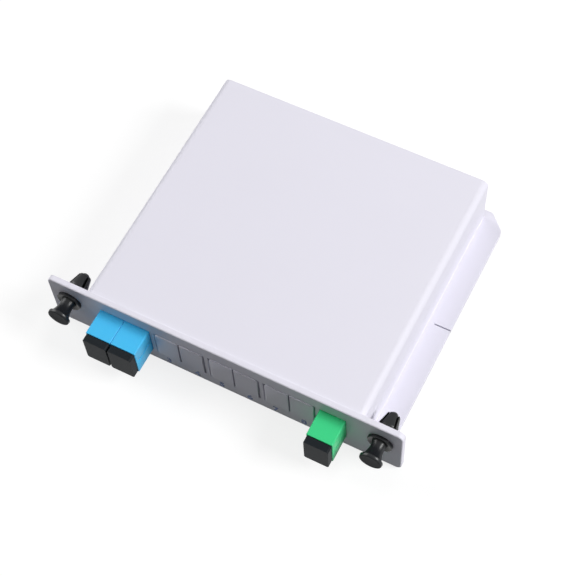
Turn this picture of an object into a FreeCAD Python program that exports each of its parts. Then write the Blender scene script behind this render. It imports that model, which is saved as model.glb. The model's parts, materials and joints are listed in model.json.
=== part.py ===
"""Card-insert optical splitter: one input and two outputs in a nine-port plastic case.

The frame is millimetres, +Z up. X runs along the front panel, Y runs from the panel into the
case, and the origin is the middle of the case's underside. Every sub-part is drawn about its
own datum and placed from the sheet called "sizes".
"""
import FreeCAD, Part
import math
import os
from types import SimpleNamespace

import Sketcher
from FreeCAD import Placement, Rotation, Vector

SIZES = (
    ("panel_margin", 7.5, "latch axis to the panel's end"),
    ("panel_step", 0.5, "panel's top edge above the case"),
    ("panel_thickness", 2.1, "front panel plate"),
    ("panel_corner", 2.2, "radius of the panel's four corners"),
    ("panel_edge", 0.3, "bevel along the panel's front outline"),
    ("side_room", 3.6, "row of ports to the side walls"),
    ("room_above", 2.4, "adapters' lips to the case's top wall"),
    ("room_below", 2.8, "base cover to the adapters' lips"),
    ("case_depth", 98.4, "panel's front face to the case's rear face"),
    ("case_wall", 2.0, "side, rear and top walls"),
    ("case_edge", 2.5, "outer radius of the two long top edges"),
    ("rim_width", 1.0, "rim of the case left round the base cover"),
    ("cover_thickness", 2.0, "base cover plate"),
    ("cover_clearance", 0.15, "gap round the base cover"),
    ("flange_reach", 8.1, "guide rail beyond the side wall"),
    ("flange_tail", 2.9, "flange behind the rear wall"),
    ("flange_thickness", 2.0, "flange round the case's foot, whose sides are the guide rails"),
    ("flange_cut", 5.9, "slanting cut at the flange's rear corners"),
    ("flange_nose", 3.0, "radius where the cut meets the rail's edge"),
    ("flange_heel", 2.0, "radius where the cut meets the rear edge"),
    ("flange_root", 1.8, "radius between rail and side wall"),
    ("slit_place", 52.0, "panel's front face to the rail's slit"),
    ("slit_width", 0.4, "slit across the rail"),
    ("slit_inset", 2.0, "side wall to the slit's inner end"),
    ("port_clearance", 0.05, "side gap round and between adapters"),
    ("adapter_edge", 0.4, "radius of the adapter's long edges"),
    ("bay_rib", 1.55, "panel left between two port openings"),
    ("adapter_width", 9.3, "adapter section across"),
    ("adapter_height", 12.8, "adapter section upright"),
    ("adapter_length", 28.4, "adapter, mouth to mouth"),
    ("adapter_projection", 9.4, "adapter in front of the panel"),
    ("adapter_wall", 0.9, "adapter's outer wall"),
    ("adapter_lip", 1.0, "stop behind the panel, above and below the adapter"),
    ("groove_width", 0.4, "line along the adapter's sides"),
    ("groove_depth", 0.2, "depth of that line"),
    ("holder_plate", 1.2, "root plate of a sleeve holder"),
    ("holder_step", 0.2, "holder's root plate beyond the socket"),
    ("holder_gap", 0.05, "play of the holder in its recess"),
    ("nose_radius", 2.45, "sleeve holder's nose"),
    ("nose_length", 6.0, "nose in front of the root plate"),
    ("arm_length", 7.5, "latch arm in front of the root plate"),
    ("arm_width", 3.2, "latch arm across"),
    ("arm_thickness", 0.7, "latch arm"),
    ("hook_rise", 0.3, "hook at the arm's end"),
    ("sleeve_radius", 1.6, "split sleeve outside"),
    ("sleeve_length", 11.4, "split sleeve"),
    ("sleeve_slot", 0.4, "slot along the sleeve"),
    ("ferrule_radius", 1.25, "ceramic ferrule"),
    ("ferrule_length", 10.8, "ceramic ferrule"),
    ("ferrule_seat", 1.7, "length of ferrule held in the plug"),
    ("fit_gap", 0.03, "radial gap of the sleeve's fits"),
    ("cap_width", 8.8, "dust cap's face across"),
    ("cap_height", 12.0, "dust cap's face upright"),
    ("cap_face", 2.6, "dust cap's face plate"),
    ("cap_seat", 0.1, "face plate to the adapter's mouth"),
    ("cap_bevel", 0.5, "bevel round the cap's face"),
    ("cap_plug", 7.5, "length of the cap's hollow plug"),
    ("cap_wall", 0.8, "wall of the plug"),
    ("socket_play", 0.15, "side gap of caps and plugs in a socket"),
    ("plug_height", 8.7, "inner plug and cap plug, upright"),
    ("plug_length", 24.0, "inner plug's housing"),
    ("plug_bore", 2.6, "hollow in the plug's front end"),
    ("boot_length", 14.0, "strain-relief boot"),
    ("boot_radius", 1.6, "strain-relief boot"),
    ("fibre_radius", 0.45, "buffered fibre"),
    ("blank_width", 9.0, "blank across"),
    ("blank_height", 12.5, "blank upright"),
    ("blank_proud", 0.3, "blank's face in front of the panel"),
    ("blank_wall", 1.2, "blank's face plate and walls"),
    ("blank_corner", 1.0, "radius of the blank's outer corners"),
    ("keeper_thickness", 1.5, "ribs that hold the lips to the panel"),
    ("keeper_gap", 0.1, "play between rib and lip"),
    ("keeper_width", 93.0, "length of those ribs"),
    ("boss_radius", 2.75, "screw boss"),
    ("boss_front_x", 22.0, "front bosses from the centre line"),
    ("boss_front_y", 24.0, "front bosses from the panel's face"),
    ("boss_rear_x", 44.0, "rear bosses from the centre line"),
    ("boss_rear_inset", 7.0, "rear bosses from the rear face"),
    ("screw_radius", 1.1, "cover screw's shank"),
    ("screw_length", 8.0, "cover screw"),
    ("screw_head", 2.0, "cover screw's head radius"),
    ("screw_gap", 0.1, "radial gap round shank and head"),
    ("screw_room", 1.0, "hole beyond the screw's end"),
    ("chip_length", 40.0, "splitter chip's metal tube"),
    ("chip_section", 4.0, "side of the tube's square section"),
    ("chip_edge", 0.5, "bevel of the tube's long edges"),
    ("chip_shift", 4.0, "chip's middle from the centre line"),
    ("chip_inset", 10.4, "chip's axis from the rear face"),
    ("clip_spacing", 24.0, "between the chip's two clips"),
    ("clip_width", 4.0, "clip along the chip"),
    ("clip_thickness", 1.2, "clip's upright"),
    ("clip_grip", 3.0, "clip's upright beside the chip"),
    ("clip_gap", 0.1, "play between clip and chip"),
    ("fibre_spread", 1.2, "between the two outgoing fibres at the chip"),
    ("fibre_lead", 0.25, "straight end of a fibre at the chip, after its bend"),
    ("latch_offset", 6.6, "side wall to the latch's axis"),
    ("latch_height", 15.5, "latch's axis above the underside"),
    ("latch_hole_gap", 0.05, "gap between the panel's hole and the barrel that passes it"),
    ("disc_radius", 4.4, "grommet's disc"),
    ("disc_thickness", 1.2, "grommet's disc"),
    ("disc_dish", 0.5, "hollow in the disc's face"),
    ("disc_lip", 0.6, "flat rim round the hollow"),
    ("barrel_radius", 3.45, "grommet's barrel"),
    ("barrel_step", 0.35, "barrel beyond the neck that lies in the panel"),
    ("barrel_length", 5.2, "straight barrel's end behind the panel's front face"),
    ("prong_length", 9.9, "prongs' tips behind the panel's front face"),
    ("prong_tip", 2.15, "radius round the prongs' tips"),
    ("prong_slot", 0.9, "slots between the prongs"),
    ("slot_start", 3.0, "start of the slots behind the panel's front face"),
    ("shaft_radius", 1.7, "plunger's shaft"),
    ("shaft_gap", 0.05, "radial gap of the shaft"),
    ("shaft_nose", 0.8, "shaft's end beyond the prongs' tips, and the length of its taper"),
    ("nose_tip", 1.1, "radius of the shaft's tapered end"),
    ("knob_radius", 4.0, "plunger's head"),
    ("knob_rim", 1.5, "thickness of the head's rim"),
    ("knob_soft", 0.4, "bevel of the head's rim"),
    ("knob_reach", 6.7, "head's face in front of the disc"),
    ("waist_radius", 2.25, "plunger's waist"),
    ("flare_radius", 2.65, "plunger where its waist opens into the head"),
    ("flare_back", 0.7, "that place behind the head's rim"),
    ("neck_radius", 2.6, "plunger's foot at the disc"),
)

BLANKED_PORTS = (3, 4, 5, 6, 7, 8)
BLANK_BAYS = (1, 1, 2, 2, 3, 3)
DUPLEX_BAYS = 4
NEAR = 0.01


class Dim:
    """A length written as a formula on the sheet, with the number it stands for."""

    def __init__(self, text, value):
        self.text = text
        self.value = float(value)

    def __add__(self, other):
        other = as_dim(other)
        return Dim(f"({self.text} + {other.text})", self.value + other.value)

    def __sub__(self, other):
        other = as_dim(other)
        return Dim(f"({self.text} - {other.text})", self.value - other.value)

    def __mul__(self, other):
        other = as_dim(other)
        return Dim(f"({self.text} * {other.text})", self.value * other.value)

    def __truediv__(self, other):
        other = as_dim(other)
        return Dim(f"({self.text} / {other.text})", self.value / other.value)

    def __neg__(self):
        return Dim(f"(0 - {self.text})", -self.value)

    def __rsub__(self, other):
        return as_dim(other) - self

    __radd__ = __add__
    __rmul__ = __mul__


def as_dim(size):
    """Give a plain number the form of a Dim."""
    if isinstance(size, Dim):
        return size
    return Dim(f"({float(size)})", size)


doc = FreeCAD.newDocument("FibreSplitter")
sheet = doc.addObject("Spreadsheet::Sheet", "sizes")
for row, (alias, number, note) in enumerate(SIZES, start=1):
    sheet.set(f"A{row}", note)
    sheet.set(f"B{row}", str(number))
    sheet.setAlias(f"B{row}", alias)
doc.recompute()
s = SimpleNamespace(**{alias: Dim(f"sizes.{alias}", number) for alias, number, note in SIZES})

# Places that several sub-parts share, measured from the panel's front face.
lip_half = s.adapter_height / 2 + s.adapter_lip
port_height = s.cover_thickness + s.room_below + lip_half
top_inside = port_height + lip_half + s.room_above
case_height = top_inside + s.case_wall
rear_inside = s.case_depth - s.case_wall
meeting_plane = s.adapter_length / 2 - s.adapter_projection
port_step = s.adapter_width + s.port_clearance
duplex_width = 2 * s.adapter_width + 3 * s.port_clearance
single_width = s.adapter_width + 2 * s.port_clearance
bay_step = duplex_width + s.bay_rib
row_start = -(DUPLEX_BAYS * bay_step + single_width) / 2
inner_half = s.side_room - row_start
case_half = inner_half + s.case_wall
latch_half = case_half + s.latch_offset
panel_half = latch_half + s.panel_margin
opening_half = s.adapter_height / 2 + s.port_clearance
socket_half_x = s.adapter_width / 2 - s.adapter_wall
socket_half_z = s.adapter_height / 2 - s.adapter_wall
plug_half_x = socket_half_x - s.socket_play
chip_y = s.case_depth - s.chip_inset
keeper_front = meeting_plane + s.keeper_gap
keeper_back = keeper_front + s.keeper_thickness
BOSSES = (
    (-s.boss_front_x, s.boss_front_y),
    (s.boss_front_x, s.boss_front_y),
    (-s.boss_rear_x, s.case_depth - s.boss_rear_inset),
    (s.boss_rear_x, s.case_depth - s.boss_rear_inset),
)


def port_x(bay, seat):
    """Centre of a port: its bay from the left, and its seat in the bay, 0 or 1."""
    return row_start + bay * bay_step + s.port_clearance + s.adapter_width / 2 + seat * port_step


# ---------------------------------------------------------------- drawing tools

def bind(thing, prop, size):
    """Tie a property to the sheet."""
    thing.setExpression(prop, as_dim(size).text)


def place(thing, x=0.0, y=0.0, z=0.0, turn=0.0):
    """Put a sub-part at x, y from the panel's face and z, turned about +Z by `turn` degrees."""
    thing.Placement = Placement(Vector(0, 0, 0), Rotation(Vector(0, 0, 1), turn))
    bind(thing, "Placement.Base.x", x)
    bind(thing, "Placement.Base.y", as_dim(y) - s.case_depth / 2)
    bind(thing, "Placement.Base.z", z)


def new_body(label):
    """Start a PartDesign body whose label names its file."""
    body = doc.addObject("PartDesign::Body", label)
    body.Label = label
    return body


def new_sketch(body, role, height=0.0):
    """Attach a sketch to one of the body's own planes, `height` along its normal."""
    sketch = body.newObject("Sketcher::SketchObject", f"{body.Name}_sketch")
    plane = next(item for item in body.Origin.OriginFeatures if item.Role == role)
    sketch.AttachmentSupport = [(plane, "")]
    sketch.MapMode = "FlatFace"
    bind(sketch, "AttachmentOffset.Base.z", height)
    return sketch


def constrain(sketch, size, *where):
    """Add a dimension to a sketch and tie it to the sheet."""
    index = sketch.addConstraint(Sketcher.Constraint(*where, as_dim(size).value))
    sketch.setExpression(f"Constraints[{index}]", as_dim(size).text)


def arc_between(start, end, radius):
    """Arc of a signed radius: positive bulges to the left of start-to-end."""
    chord = end - start
    side = Vector(-chord.y, chord.x, 0).normalize()
    half = chord.Length / 2
    sagitta = abs(radius) - math.sqrt(radius * radius - half * half)
    middle = (start + end) / 2 + side * math.copysign(sagitta, radius)
    return Part.Arc(start, middle, end)


def draw_outline(sketch, points):
    """Draw a closed outline through (x, y) or (x, y, radius of the arc that starts there)."""
    spots = [Vector(as_dim(point[0]).value, as_dim(point[1]).value, 0) for point in points]
    first = sketch.GeometryCount
    for index, point in enumerate(points):
        start, end = spots[index], spots[(index + 1) % len(spots)]
        if len(point) == 2:
            sketch.addGeometry(Part.LineSegment(start, end))
        else:
            sketch.addGeometry(arc_between(start, end, as_dim(point[2]).value))
    # An arc always runs anticlockwise, so the end that sits on a vertex is looked up.
    for index, point in enumerate(points):
        corner, near, far = first + index, spots[index], spots[(index + 1) % len(spots)]
        before = first + (index - 1) % len(points)
        here = end_at(sketch, corner, near, far)
        there = end_at(sketch, before, near, spots[index - 1])
        sketch.addConstraint(Sketcher.Constraint("Coincident", before, there, corner, here))
        constrain(sketch, point[0], "DistanceX", -1, 1, corner, here)
        constrain(sketch, point[1], "DistanceY", -1, 1, corner, here)
        if len(point) == 3:
            size = as_dim(point[2])
            constrain(sketch, size if size.value > 0 else -size, "Radius", corner)


def end_at(sketch, line, near, far):
    """Tell which end of a line or arc, 1 or 2, lies at `near` rather than at `far`."""
    start = sketch.getPoint(line, 1)
    return 1 if (start - near).Length < (start - far).Length else 2


def box_points(left, low, right, high):
    """Corners of an upright rectangle."""
    return [(left, low), (right, low), (right, high), (left, high)]


def draw_circle(sketch, x, y, radius):
    """Draw a circle held by its centre and radius."""
    centre = Vector(as_dim(x).value, as_dim(y).value, 0)
    index = sketch.addGeometry(Part.Circle(centre, Vector(0, 0, 1), as_dim(radius).value))
    constrain(sketch, x, "DistanceX", -1, 1, index, 3)
    constrain(sketch, y, "DistanceY", -1, 1, index, 3)
    constrain(sketch, radius, "Radius", index)


def extrude(body, kind, sketch, length, reverse):
    """Pad or pocket a sketch and check that it changed the body's volume the right way."""
    before = body.Shape.Volume if body.Tip else 0.0
    feature = body.newObject(f"PartDesign::{kind}", f"{body.Name}_{kind.lower()}")
    feature.Profile = sketch
    bind(feature, "Length", length)
    feature.Reversed = reverse
    doc.recompute()
    grew = body.Shape.Volume - before
    if (grew > 0) != (kind == "Pad"):
        raise RuntimeError(f"{feature.Name} of {body.Label} changed nothing")
    return feature


def along_y(body, kind, near, far, outlines=(), circles=()):
    """Pad or pocket outlines in X and Z from y = near to y = far."""
    sketch = new_sketch(body, "XZ_Plane", -as_dim(near))
    for points in outlines:
        draw_outline(sketch, points)
    for circle in circles:
        draw_circle(sketch, *circle)
    return extrude(body, kind, sketch, as_dim(far) - near, kind == "Pad")


def along_z(body, kind, low, high, outlines=(), circles=()):
    """Pad or pocket outlines in X and Y from z = low to z = high."""
    sketch = new_sketch(body, "XY_Plane", low)
    for points in outlines:
        draw_outline(sketch, points)
    for circle in circles:
        draw_circle(sketch, *circle)
    return extrude(body, kind, sketch, as_dim(high) - low, kind == "Pocket")


def revolve(body, points):
    """Turn an outline of radius and y about the body's Y axis."""
    sketch = new_sketch(body, "XY_Plane")
    draw_outline(sketch, points)
    feature = body.newObject("PartDesign::Revolution", f"{body.Name}_turning")
    feature.Profile = sketch
    feature.ReferenceAxis = (sketch, ["V_Axis"])
    feature.Angle = 360.0
    doc.recompute()
    return feature


def dress(body, kind, size, wanted):
    """Fillet or chamfer every edge of the body that `wanted` picks."""
    base = body.Tip
    names = [f"Edge{i}" for i, edge in enumerate(base.Shape.Edges, start=1) if wanted(edge)]
    if not names:
        raise RuntimeError(f"no edge of {body.Label} to {kind}")
    feature = body.newObject(f"PartDesign::{kind}", f"{body.Name}_{kind.lower()}")
    feature.Base = (base, names)
    bind(feature, "Radius" if kind == "Fillet" else "Size", size)
    doc.recompute()
    return feature


def runs(edge, axis):
    """True for a straight edge along the axis named."""
    if not isinstance(edge.Curve, Part.Line):
        return False
    return abs(getattr(edge.Curve.Direction, axis)) > 0.999


def sits(edge, **where):
    """True where the edge's middle lies at each coordinate given, either side of zero."""
    middle = edge.CenterOfMass
    return all(abs(abs(getattr(middle, axis)) - abs(as_dim(size).value)) < NEAR
               for axis, size in where.items())


# ---------------------------------------------------------------- case

def build_case_body():
    """The moulding that is front panel, top, walls and guide rails in one."""
    body = new_body("case_body")
    panel_back = s.panel_thickness
    panel_top = case_height + s.panel_step
    along_y(body, "Pad", 0.0, panel_back, [box_points(-panel_half, 0.0, panel_half, panel_top)])
    dress(body, "Fillet", s.panel_corner, lambda edge: runs(edge, "y"))
    dress(body, "Chamfer", s.panel_edge, lambda edge: abs(edge.BoundBox.YMax) < NEAR)
    along_y(body, "Pad", panel_back, s.case_depth, [box_points(-case_half, 0.0, case_half, case_height)])
    dress(body, "Fillet", s.case_edge,
          lambda edge: runs(edge, "y") and sits(edge, x=case_half, z=case_height))

    add_flange(body)
    along_y(body, "Pocket", panel_back, rear_inside, [box_points(-inner_half, 0.0, inner_half, top_inside)])
    dress(body, "Fillet", s.case_edge - s.case_wall,
          lambda edge: runs(edge, "y") and sits(edge, x=inner_half, z=top_inside))
    rim_half = case_half - s.rim_width
    along_z(body, "Pocket", 0.0, s.cover_thickness,
            [box_points(-rim_half, s.rim_width, rim_half, s.case_depth - s.rim_width)])
    cut_ports(body)
    hole = s.barrel_radius + s.latch_hole_gap
    along_y(body, "Pocket", 0.0, panel_back,
            circles=[(-latch_half, s.latch_height, hole), (latch_half, s.latch_height, hole)])
    add_case_insides(body)
    place(body)
    return body


def add_flange(body):
    """The flange round the case's foot: guide rails at its sides and a tail behind."""
    outer = case_half + s.flange_reach
    rear = s.case_depth + s.flange_tail
    cut_x = outer - s.flange_cut
    cut_y = rear - s.flange_cut
    outline = [(-outer, s.panel_thickness), (outer, s.panel_thickness), (outer, cut_y),
               (cut_x, rear), (-cut_x, rear), (-outer, cut_y)]
    along_z(body, "Pad", 0.0, s.flange_thickness, [outline])
    dress(body, "Fillet", s.flange_nose, lambda edge: runs(edge, "z") and sits(edge, x=outer, y=cut_y))
    dress(body, "Fillet", s.flange_heel, lambda edge: runs(edge, "z") and sits(edge, x=cut_x, y=rear))

    foot = s.flange_thickness / 2
    rise = s.flange_thickness + s.flange_root
    root = [
        (case_half - foot, foot),
        (case_half + s.flange_root, foot),
        (case_half + s.flange_root, s.flange_thickness, s.flange_root),
        (case_half, rise),
        (case_half - foot, rise),
    ]
    mirrored = [(-point[0], point[1], *(-size for size in point[2:])) for point in root]
    slits = []
    for side, outline in ((1, root), (-1, mirrored)):
        along_y(body, "Pad", s.panel_thickness, s.case_depth, [outline])
        slits.append(box_points(side * (case_half + s.slit_inset), s.slit_place - s.slit_width / 2,
                                side * outer, s.slit_place + s.slit_width / 2))
    along_z(body, "Pocket", 0.0, s.flange_thickness, slits)


def cut_ports(body):
    """Four openings for two adapters each and one for a single adapter."""
    low = port_height - opening_half
    high = port_height + opening_half
    openings = []
    for bay in range(DUPLEX_BAYS + 1):
        left = row_start + bay * bay_step
        width = duplex_width if bay < DUPLEX_BAYS else single_width
        openings.append(box_points(left, low, left + width, high))
    along_y(body, "Pocket", 0.0, s.panel_thickness, openings)


def add_case_insides(body):
    """The rib that keeps the adapters to the panel, and the bosses for the cover's screws."""
    rib_half = s.keeper_width / 2
    rib_low = port_height + s.adapter_height / 2 + s.keeper_gap
    along_z(body, "Pad", rib_low, top_inside, [box_points(-rib_half, keeper_front, rib_half, keeper_back)])
    along_z(body, "Pad", s.cover_thickness, top_inside,
            circles=[(x, y, s.boss_radius) for x, y in BOSSES])
    along_z(body, "Pocket", s.cover_thickness, s.screw_length + s.screw_room,
            circles=[(x, y, s.screw_radius + s.screw_gap) for x, y in BOSSES])


def build_base_cover():
    """The plate under the case, with a rib behind the adapters' lips and clips for the chip."""
    body = new_body("base_cover")
    edge_x = case_half - s.rim_width - s.cover_clearance
    front = s.rim_width + s.cover_clearance
    rear = s.case_depth - s.rim_width - s.cover_clearance
    along_z(body, "Pad", 0.0, s.cover_thickness, [box_points(-edge_x, front, edge_x, rear)])
    rib_half = s.keeper_width / 2
    rib_top = port_height - s.adapter_height / 2 - s.keeper_gap
    along_z(body, "Pad", s.cover_thickness, rib_top,
            [box_points(-rib_half, keeper_front, rib_half, keeper_back)])
    add_chip_clips(body)
    hole = s.screw_radius + s.screw_gap
    along_z(body, "Pocket", 0.0, s.cover_thickness, circles=[(x, y, hole) for x, y in BOSSES])
    dress(body, "Chamfer", s.screw_head - s.screw_radius,
          lambda edge: isinstance(edge.Curve, Part.Circle) and edge.BoundBox.ZMax < NEAR)
    place(body)
    return body


def add_chip_clips(body):
    """Two posts whose forked tops hold the chip level with the ports."""
    near = s.chip_section / 2 + s.clip_gap
    far = near + s.clip_thickness
    seat = port_height - s.chip_section / 2
    posts, forks = [], []
    for x in (s.chip_shift - s.clip_spacing / 2, s.chip_shift + s.clip_spacing / 2):
        left, right = x - s.clip_width / 2, x + s.clip_width / 2
        posts.append(box_points(left, chip_y - far, right, chip_y + far))
        forks.append(box_points(left, chip_y - far, right, chip_y - near))
        forks.append(box_points(left, chip_y + near, right, chip_y + far))
    along_z(body, "Pad", s.cover_thickness, seat, posts)
    along_z(body, "Pad", seat, seat + s.clip_grip, forks)


def build_screws():
    """Four countersunk screws, flush with the underside."""
    screws = []
    for index, (x, y) in enumerate(BOSSES):
        head = doc.addObject("Part::Cone", f"screw_head_{index}")
        bind(head, "Radius1", s.screw_head)
        bind(head, "Radius2", s.screw_radius)
        bind(head, "Height", s.screw_head - s.screw_radius)
        shank = doc.addObject("Part::Cylinder", f"screw_shank_{index}")
        bind(shank, "Radius", s.screw_radius)
        bind(shank, "Height", s.screw_length)
        screw = doc.addObject("Part::Fuse", f"screw_{index}")
        screw.Base = head
        screw.Tool = shank
        place(screw, x, y)
        screws.append(screw)
    group = doc.addObject("Part::Compound", "cover_screws")
    group.Links = screws
    group.Label = "cover_screws"
    return group


def build_blank(port, bay, seat):
    """A closing piece for an unused port, held by the same ribs as an adapter."""
    body = new_body(f"port_blank_{port}")
    half_x = s.blank_width / 2
    half_z = s.blank_height / 2
    along_y(body, "Pad", -s.blank_proud, meeting_plane, [box_points(-half_x, -half_z, half_x, half_z)])
    outer = -half_x if seat == 0 else half_x
    corner_x = outer.value
    dress(body, "Fillet", s.blank_corner,
          lambda edge: runs(edge, "y") and abs(edge.CenterOfMass.x - corner_x) < NEAR)
    along_y(body, "Pad", s.panel_thickness, meeting_plane,
            [box_points(-half_x, -lip_half, half_x, lip_half)])
    hollow_x = half_x - s.blank_wall
    hollow_z = half_z - s.blank_wall
    along_y(body, "Pocket", s.blank_wall - s.blank_proud, meeting_plane,
            [box_points(-hollow_x, -hollow_z, hollow_x, hollow_z)])
    place(body, port_x(bay, seat), 0.0, port_height)
    return body


# ---------------------------------------------------------------- adapters and caps

def build_adapter_half(label, x, front):
    """Half of an adapter's shell, from its mouth to the plane where two ferrules meet."""
    body = new_body(label)
    half_x = s.adapter_width / 2
    half_z = s.adapter_height / 2
    length = s.adapter_length / 2
    along_y(body, "Pad", -length, 0.0, [box_points(-half_x, -half_z, half_x, half_z)])
    if front:
        dress(body, "Fillet", s.adapter_edge, lambda edge: runs(edge, "y"))
        along_y(body, "Pad", s.panel_thickness - meeting_plane, 0.0,
                [box_points(-half_x, -lip_half, half_x, lip_half)])
        cut_side_grooves(body, half_x, length)
    along_y(body, "Pocket", -length, 0.0,
            [box_points(-socket_half_x, -socket_half_z, socket_half_x, socket_half_z)])
    seat_x = socket_half_x + s.holder_step + s.holder_gap
    seat_z = socket_half_z + s.holder_step + s.holder_gap
    along_y(body, "Pocket", -(s.holder_plate + s.holder_gap), 0.0,
            [box_points(-seat_x, -seat_z, seat_x, seat_z)])
    place(body, x, meeting_plane, port_height, 0.0 if front else 180.0)
    return body


def cut_side_grooves(body, half_x, length):
    """A shallow line along each side of the shell, between the mouth and the panel."""
    near = -length + s.adapter_wall
    far = -meeting_plane - s.adapter_wall
    grooves = [box_points(half_x - s.groove_depth, near, half_x + s.groove_depth, far),
               box_points(-half_x - s.groove_depth, near, -half_x + s.groove_depth, far)]
    along_z(body, "Pocket", -s.groove_width / 2, s.groove_width / 2, grooves)


def build_holder(label, x, front):
    """Sleeve holder: root plate, nose round the sleeve and two latch arms with hooks."""
    body = new_body(label)
    plate_x = socket_half_x + s.holder_step
    plate_z = socket_half_z + s.holder_step
    root = -s.holder_plate
    along_y(body, "Pad", root, 0.0, [box_points(-plate_x, -plate_z, plate_x, plate_z)])
    along_y(body, "Pad", root - s.nose_length, root, circles=[(0.0, 0.0, s.nose_radius)])
    arm_half = s.arm_width / 2
    outer = socket_half_z - s.holder_gap
    inner = outer - s.arm_thickness
    tip = root - s.arm_length
    arms = [box_points(-arm_half, inner, arm_half, outer), box_points(-arm_half, -outer, arm_half, -inner)]
    along_y(body, "Pad", tip, root, arms)
    low = inner - s.hook_rise
    hooks = [box_points(-arm_half, low, arm_half, inner), box_points(-arm_half, -inner, arm_half, -low)]
    along_y(body, "Pad", tip, tip + s.arm_thickness, hooks)
    along_y(body, "Pocket", root - s.nose_length, 0.0, circles=[(0.0, 0.0, s.sleeve_radius + s.fit_gap)])
    place(body, x, meeting_plane, port_height, 0.0 if front else 180.0)
    return body


def build_split_sleeve(label, x):
    """The slotted tube that lines up the two ferrules."""
    body = new_body(label)
    half = s.sleeve_length / 2
    along_y(body, "Pad", -half, half,
            circles=[(0.0, 0.0, s.sleeve_radius), (0.0, 0.0, s.ferrule_radius + s.fit_gap)])
    slot = s.sleeve_slot / 2
    along_y(body, "Pocket", -half, half, [box_points(-slot, 0.0, slot, s.sleeve_radius)])
    place(body, x, meeting_plane, port_height)
    return body


def build_dust_cap(label, x):
    """A cap with a hollow plug that fills the adapter's mouth."""
    body = new_body(label)
    half_x = s.cap_width / 2
    half_z = s.cap_height / 2
    face_back = -(s.adapter_projection + s.cap_seat)
    face_front = face_back - s.cap_face
    along_y(body, "Pad", face_front, face_back, [box_points(-half_x, -half_z, half_x, half_z)])
    front = face_front.value
    dress(body, "Chamfer", s.cap_bevel,
          lambda edge: runs(edge, "y") or abs(edge.CenterOfMass.y - front) < NEAR)
    plug_half_z = s.plug_height / 2
    plug_end = face_back + s.cap_plug
    along_y(body, "Pad", face_back, plug_end, [box_points(-plug_half_x, -plug_half_z, plug_half_x, plug_half_z)])
    hollow_x = plug_half_x - s.cap_wall
    hollow_z = plug_half_z - s.cap_wall
    along_y(body, "Pocket", face_back, plug_end, [box_points(-hollow_x, -hollow_z, hollow_x, hollow_z)])
    place(body, x, 0.0, port_height)
    return body


# ---------------------------------------------------------------- inside the case

def build_plug(name, x):
    """The inner plug of a port: housing, ferrule and boot."""
    front = s.holder_plate + s.cap_seat
    back = front + s.plug_length
    seat = s.ferrule_length - s.ferrule_seat
    end = s.ferrule_length + s.fit_gap
    half_z = s.plug_height / 2

    housing = new_body(f"{name}_plug_housing")
    along_y(housing, "Pad", front, back, [box_points(-plug_half_x, -half_z, plug_half_x, half_z)])
    along_y(housing, "Pocket", front, seat, circles=[(0.0, 0.0, s.plug_bore)])
    along_y(housing, "Pocket", seat, end, circles=[(0.0, 0.0, s.ferrule_radius + s.fit_gap)])
    place(housing, x, meeting_plane, port_height)

    ferrule = new_body(f"{name}_plug_ferrule")
    along_y(ferrule, "Pad", s.fit_gap, s.ferrule_length, circles=[(0.0, 0.0, s.ferrule_radius)])
    place(ferrule, x, meeting_plane, port_height)

    boot = new_body(f"{name}_plug_boot")
    along_y(boot, "Pad", back, back + s.boot_length, circles=[(0.0, 0.0, s.boot_radius)])
    place(boot, x, meeting_plane, port_height)
    return [housing, ferrule, boot]


def build_chip():
    """The sealed metal tube that holds the splitter chip."""
    body = new_body("splitter_chip")
    half = s.chip_length / 2
    side = s.chip_section / 2
    along_z(body, "Pad", -side, side, [box_points(-half, -side, half, side)])
    dress(body, "Chamfer", s.chip_edge, lambda edge: runs(edge, "x"))
    place(body, s.chip_shift, chip_y, port_height)
    return body


def rounded_path(points, radii):
    """Straight runs joined by tangent arcs, one radius for each inner point."""
    edges = []
    cursor = points[0]
    for before, corner, after, radius in zip(points, points[1:], points[2:], radii):
        inward = (corner - before).normalize()
        outward = (after - corner).normalize()
        turn = inward.getAngle(outward)
        reach = radius * math.tan(turn / 2)
        start = corner - inward * reach
        end = corner + outward * reach
        towards_centre = (outward - inward).normalize()
        to_middle = radius / math.cos(turn / 2) - radius
        middle = corner + towards_centre * to_middle
        edges.append(Part.LineSegment(cursor, start).toShape())
        edges.append(Part.Arc(start, middle, end).toShape())
        cursor = end
    edges.append(Part.LineSegment(cursor, points[-1]).toShape())
    return Part.Wire(edges)


def build_pigtail(name, x, chip_side, spread):
    """A buffered fibre from its plug's boot, back along the case and round to the chip's end."""
    axis_x = x.value
    axis_z = port_height.value
    boot_end = (meeting_plane + s.holder_plate + s.cap_seat + s.plug_length + s.boot_length).value
    end_y = (chip_y + spread).value
    end_x = (s.chip_shift + chip_side * s.chip_length / 2).value
    points = [
        Vector(axis_x, boot_end, axis_z),
        Vector(axis_x, end_y, axis_z),
        Vector(end_x, end_y, axis_z),
    ]
    bend = abs(end_x - axis_x) - s.fibre_lead.value
    path = rounded_path(points, [bend])
    profile = Part.Wire(Part.makeCircle(s.fibre_radius.value, points[0], Vector(0, 1, 0)))
    tube = path.makePipeShell([profile], True, True)
    expected = math.pi * s.fibre_radius.value ** 2 * path.Length
    if abs(tube.Volume - expected) > 0.01 * expected:
        raise RuntimeError(f"{name}: the tube holds {tube.Volume:.1f}, not {expected:.1f}")
    print(f"{name}_pigtail: {path.Length:.1f} mm long, bend radius {bend:.2f}")
    feature = doc.addObject("Part::Feature", f"{name}_pigtail")
    feature.Label = f"{name}_pigtail"
    feature.Shape = tube
    feature.Placement = Placement(Vector(0, -s.case_depth.value / 2, 0), Rotation())
    return feature


# ---------------------------------------------------------------- latches

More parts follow.
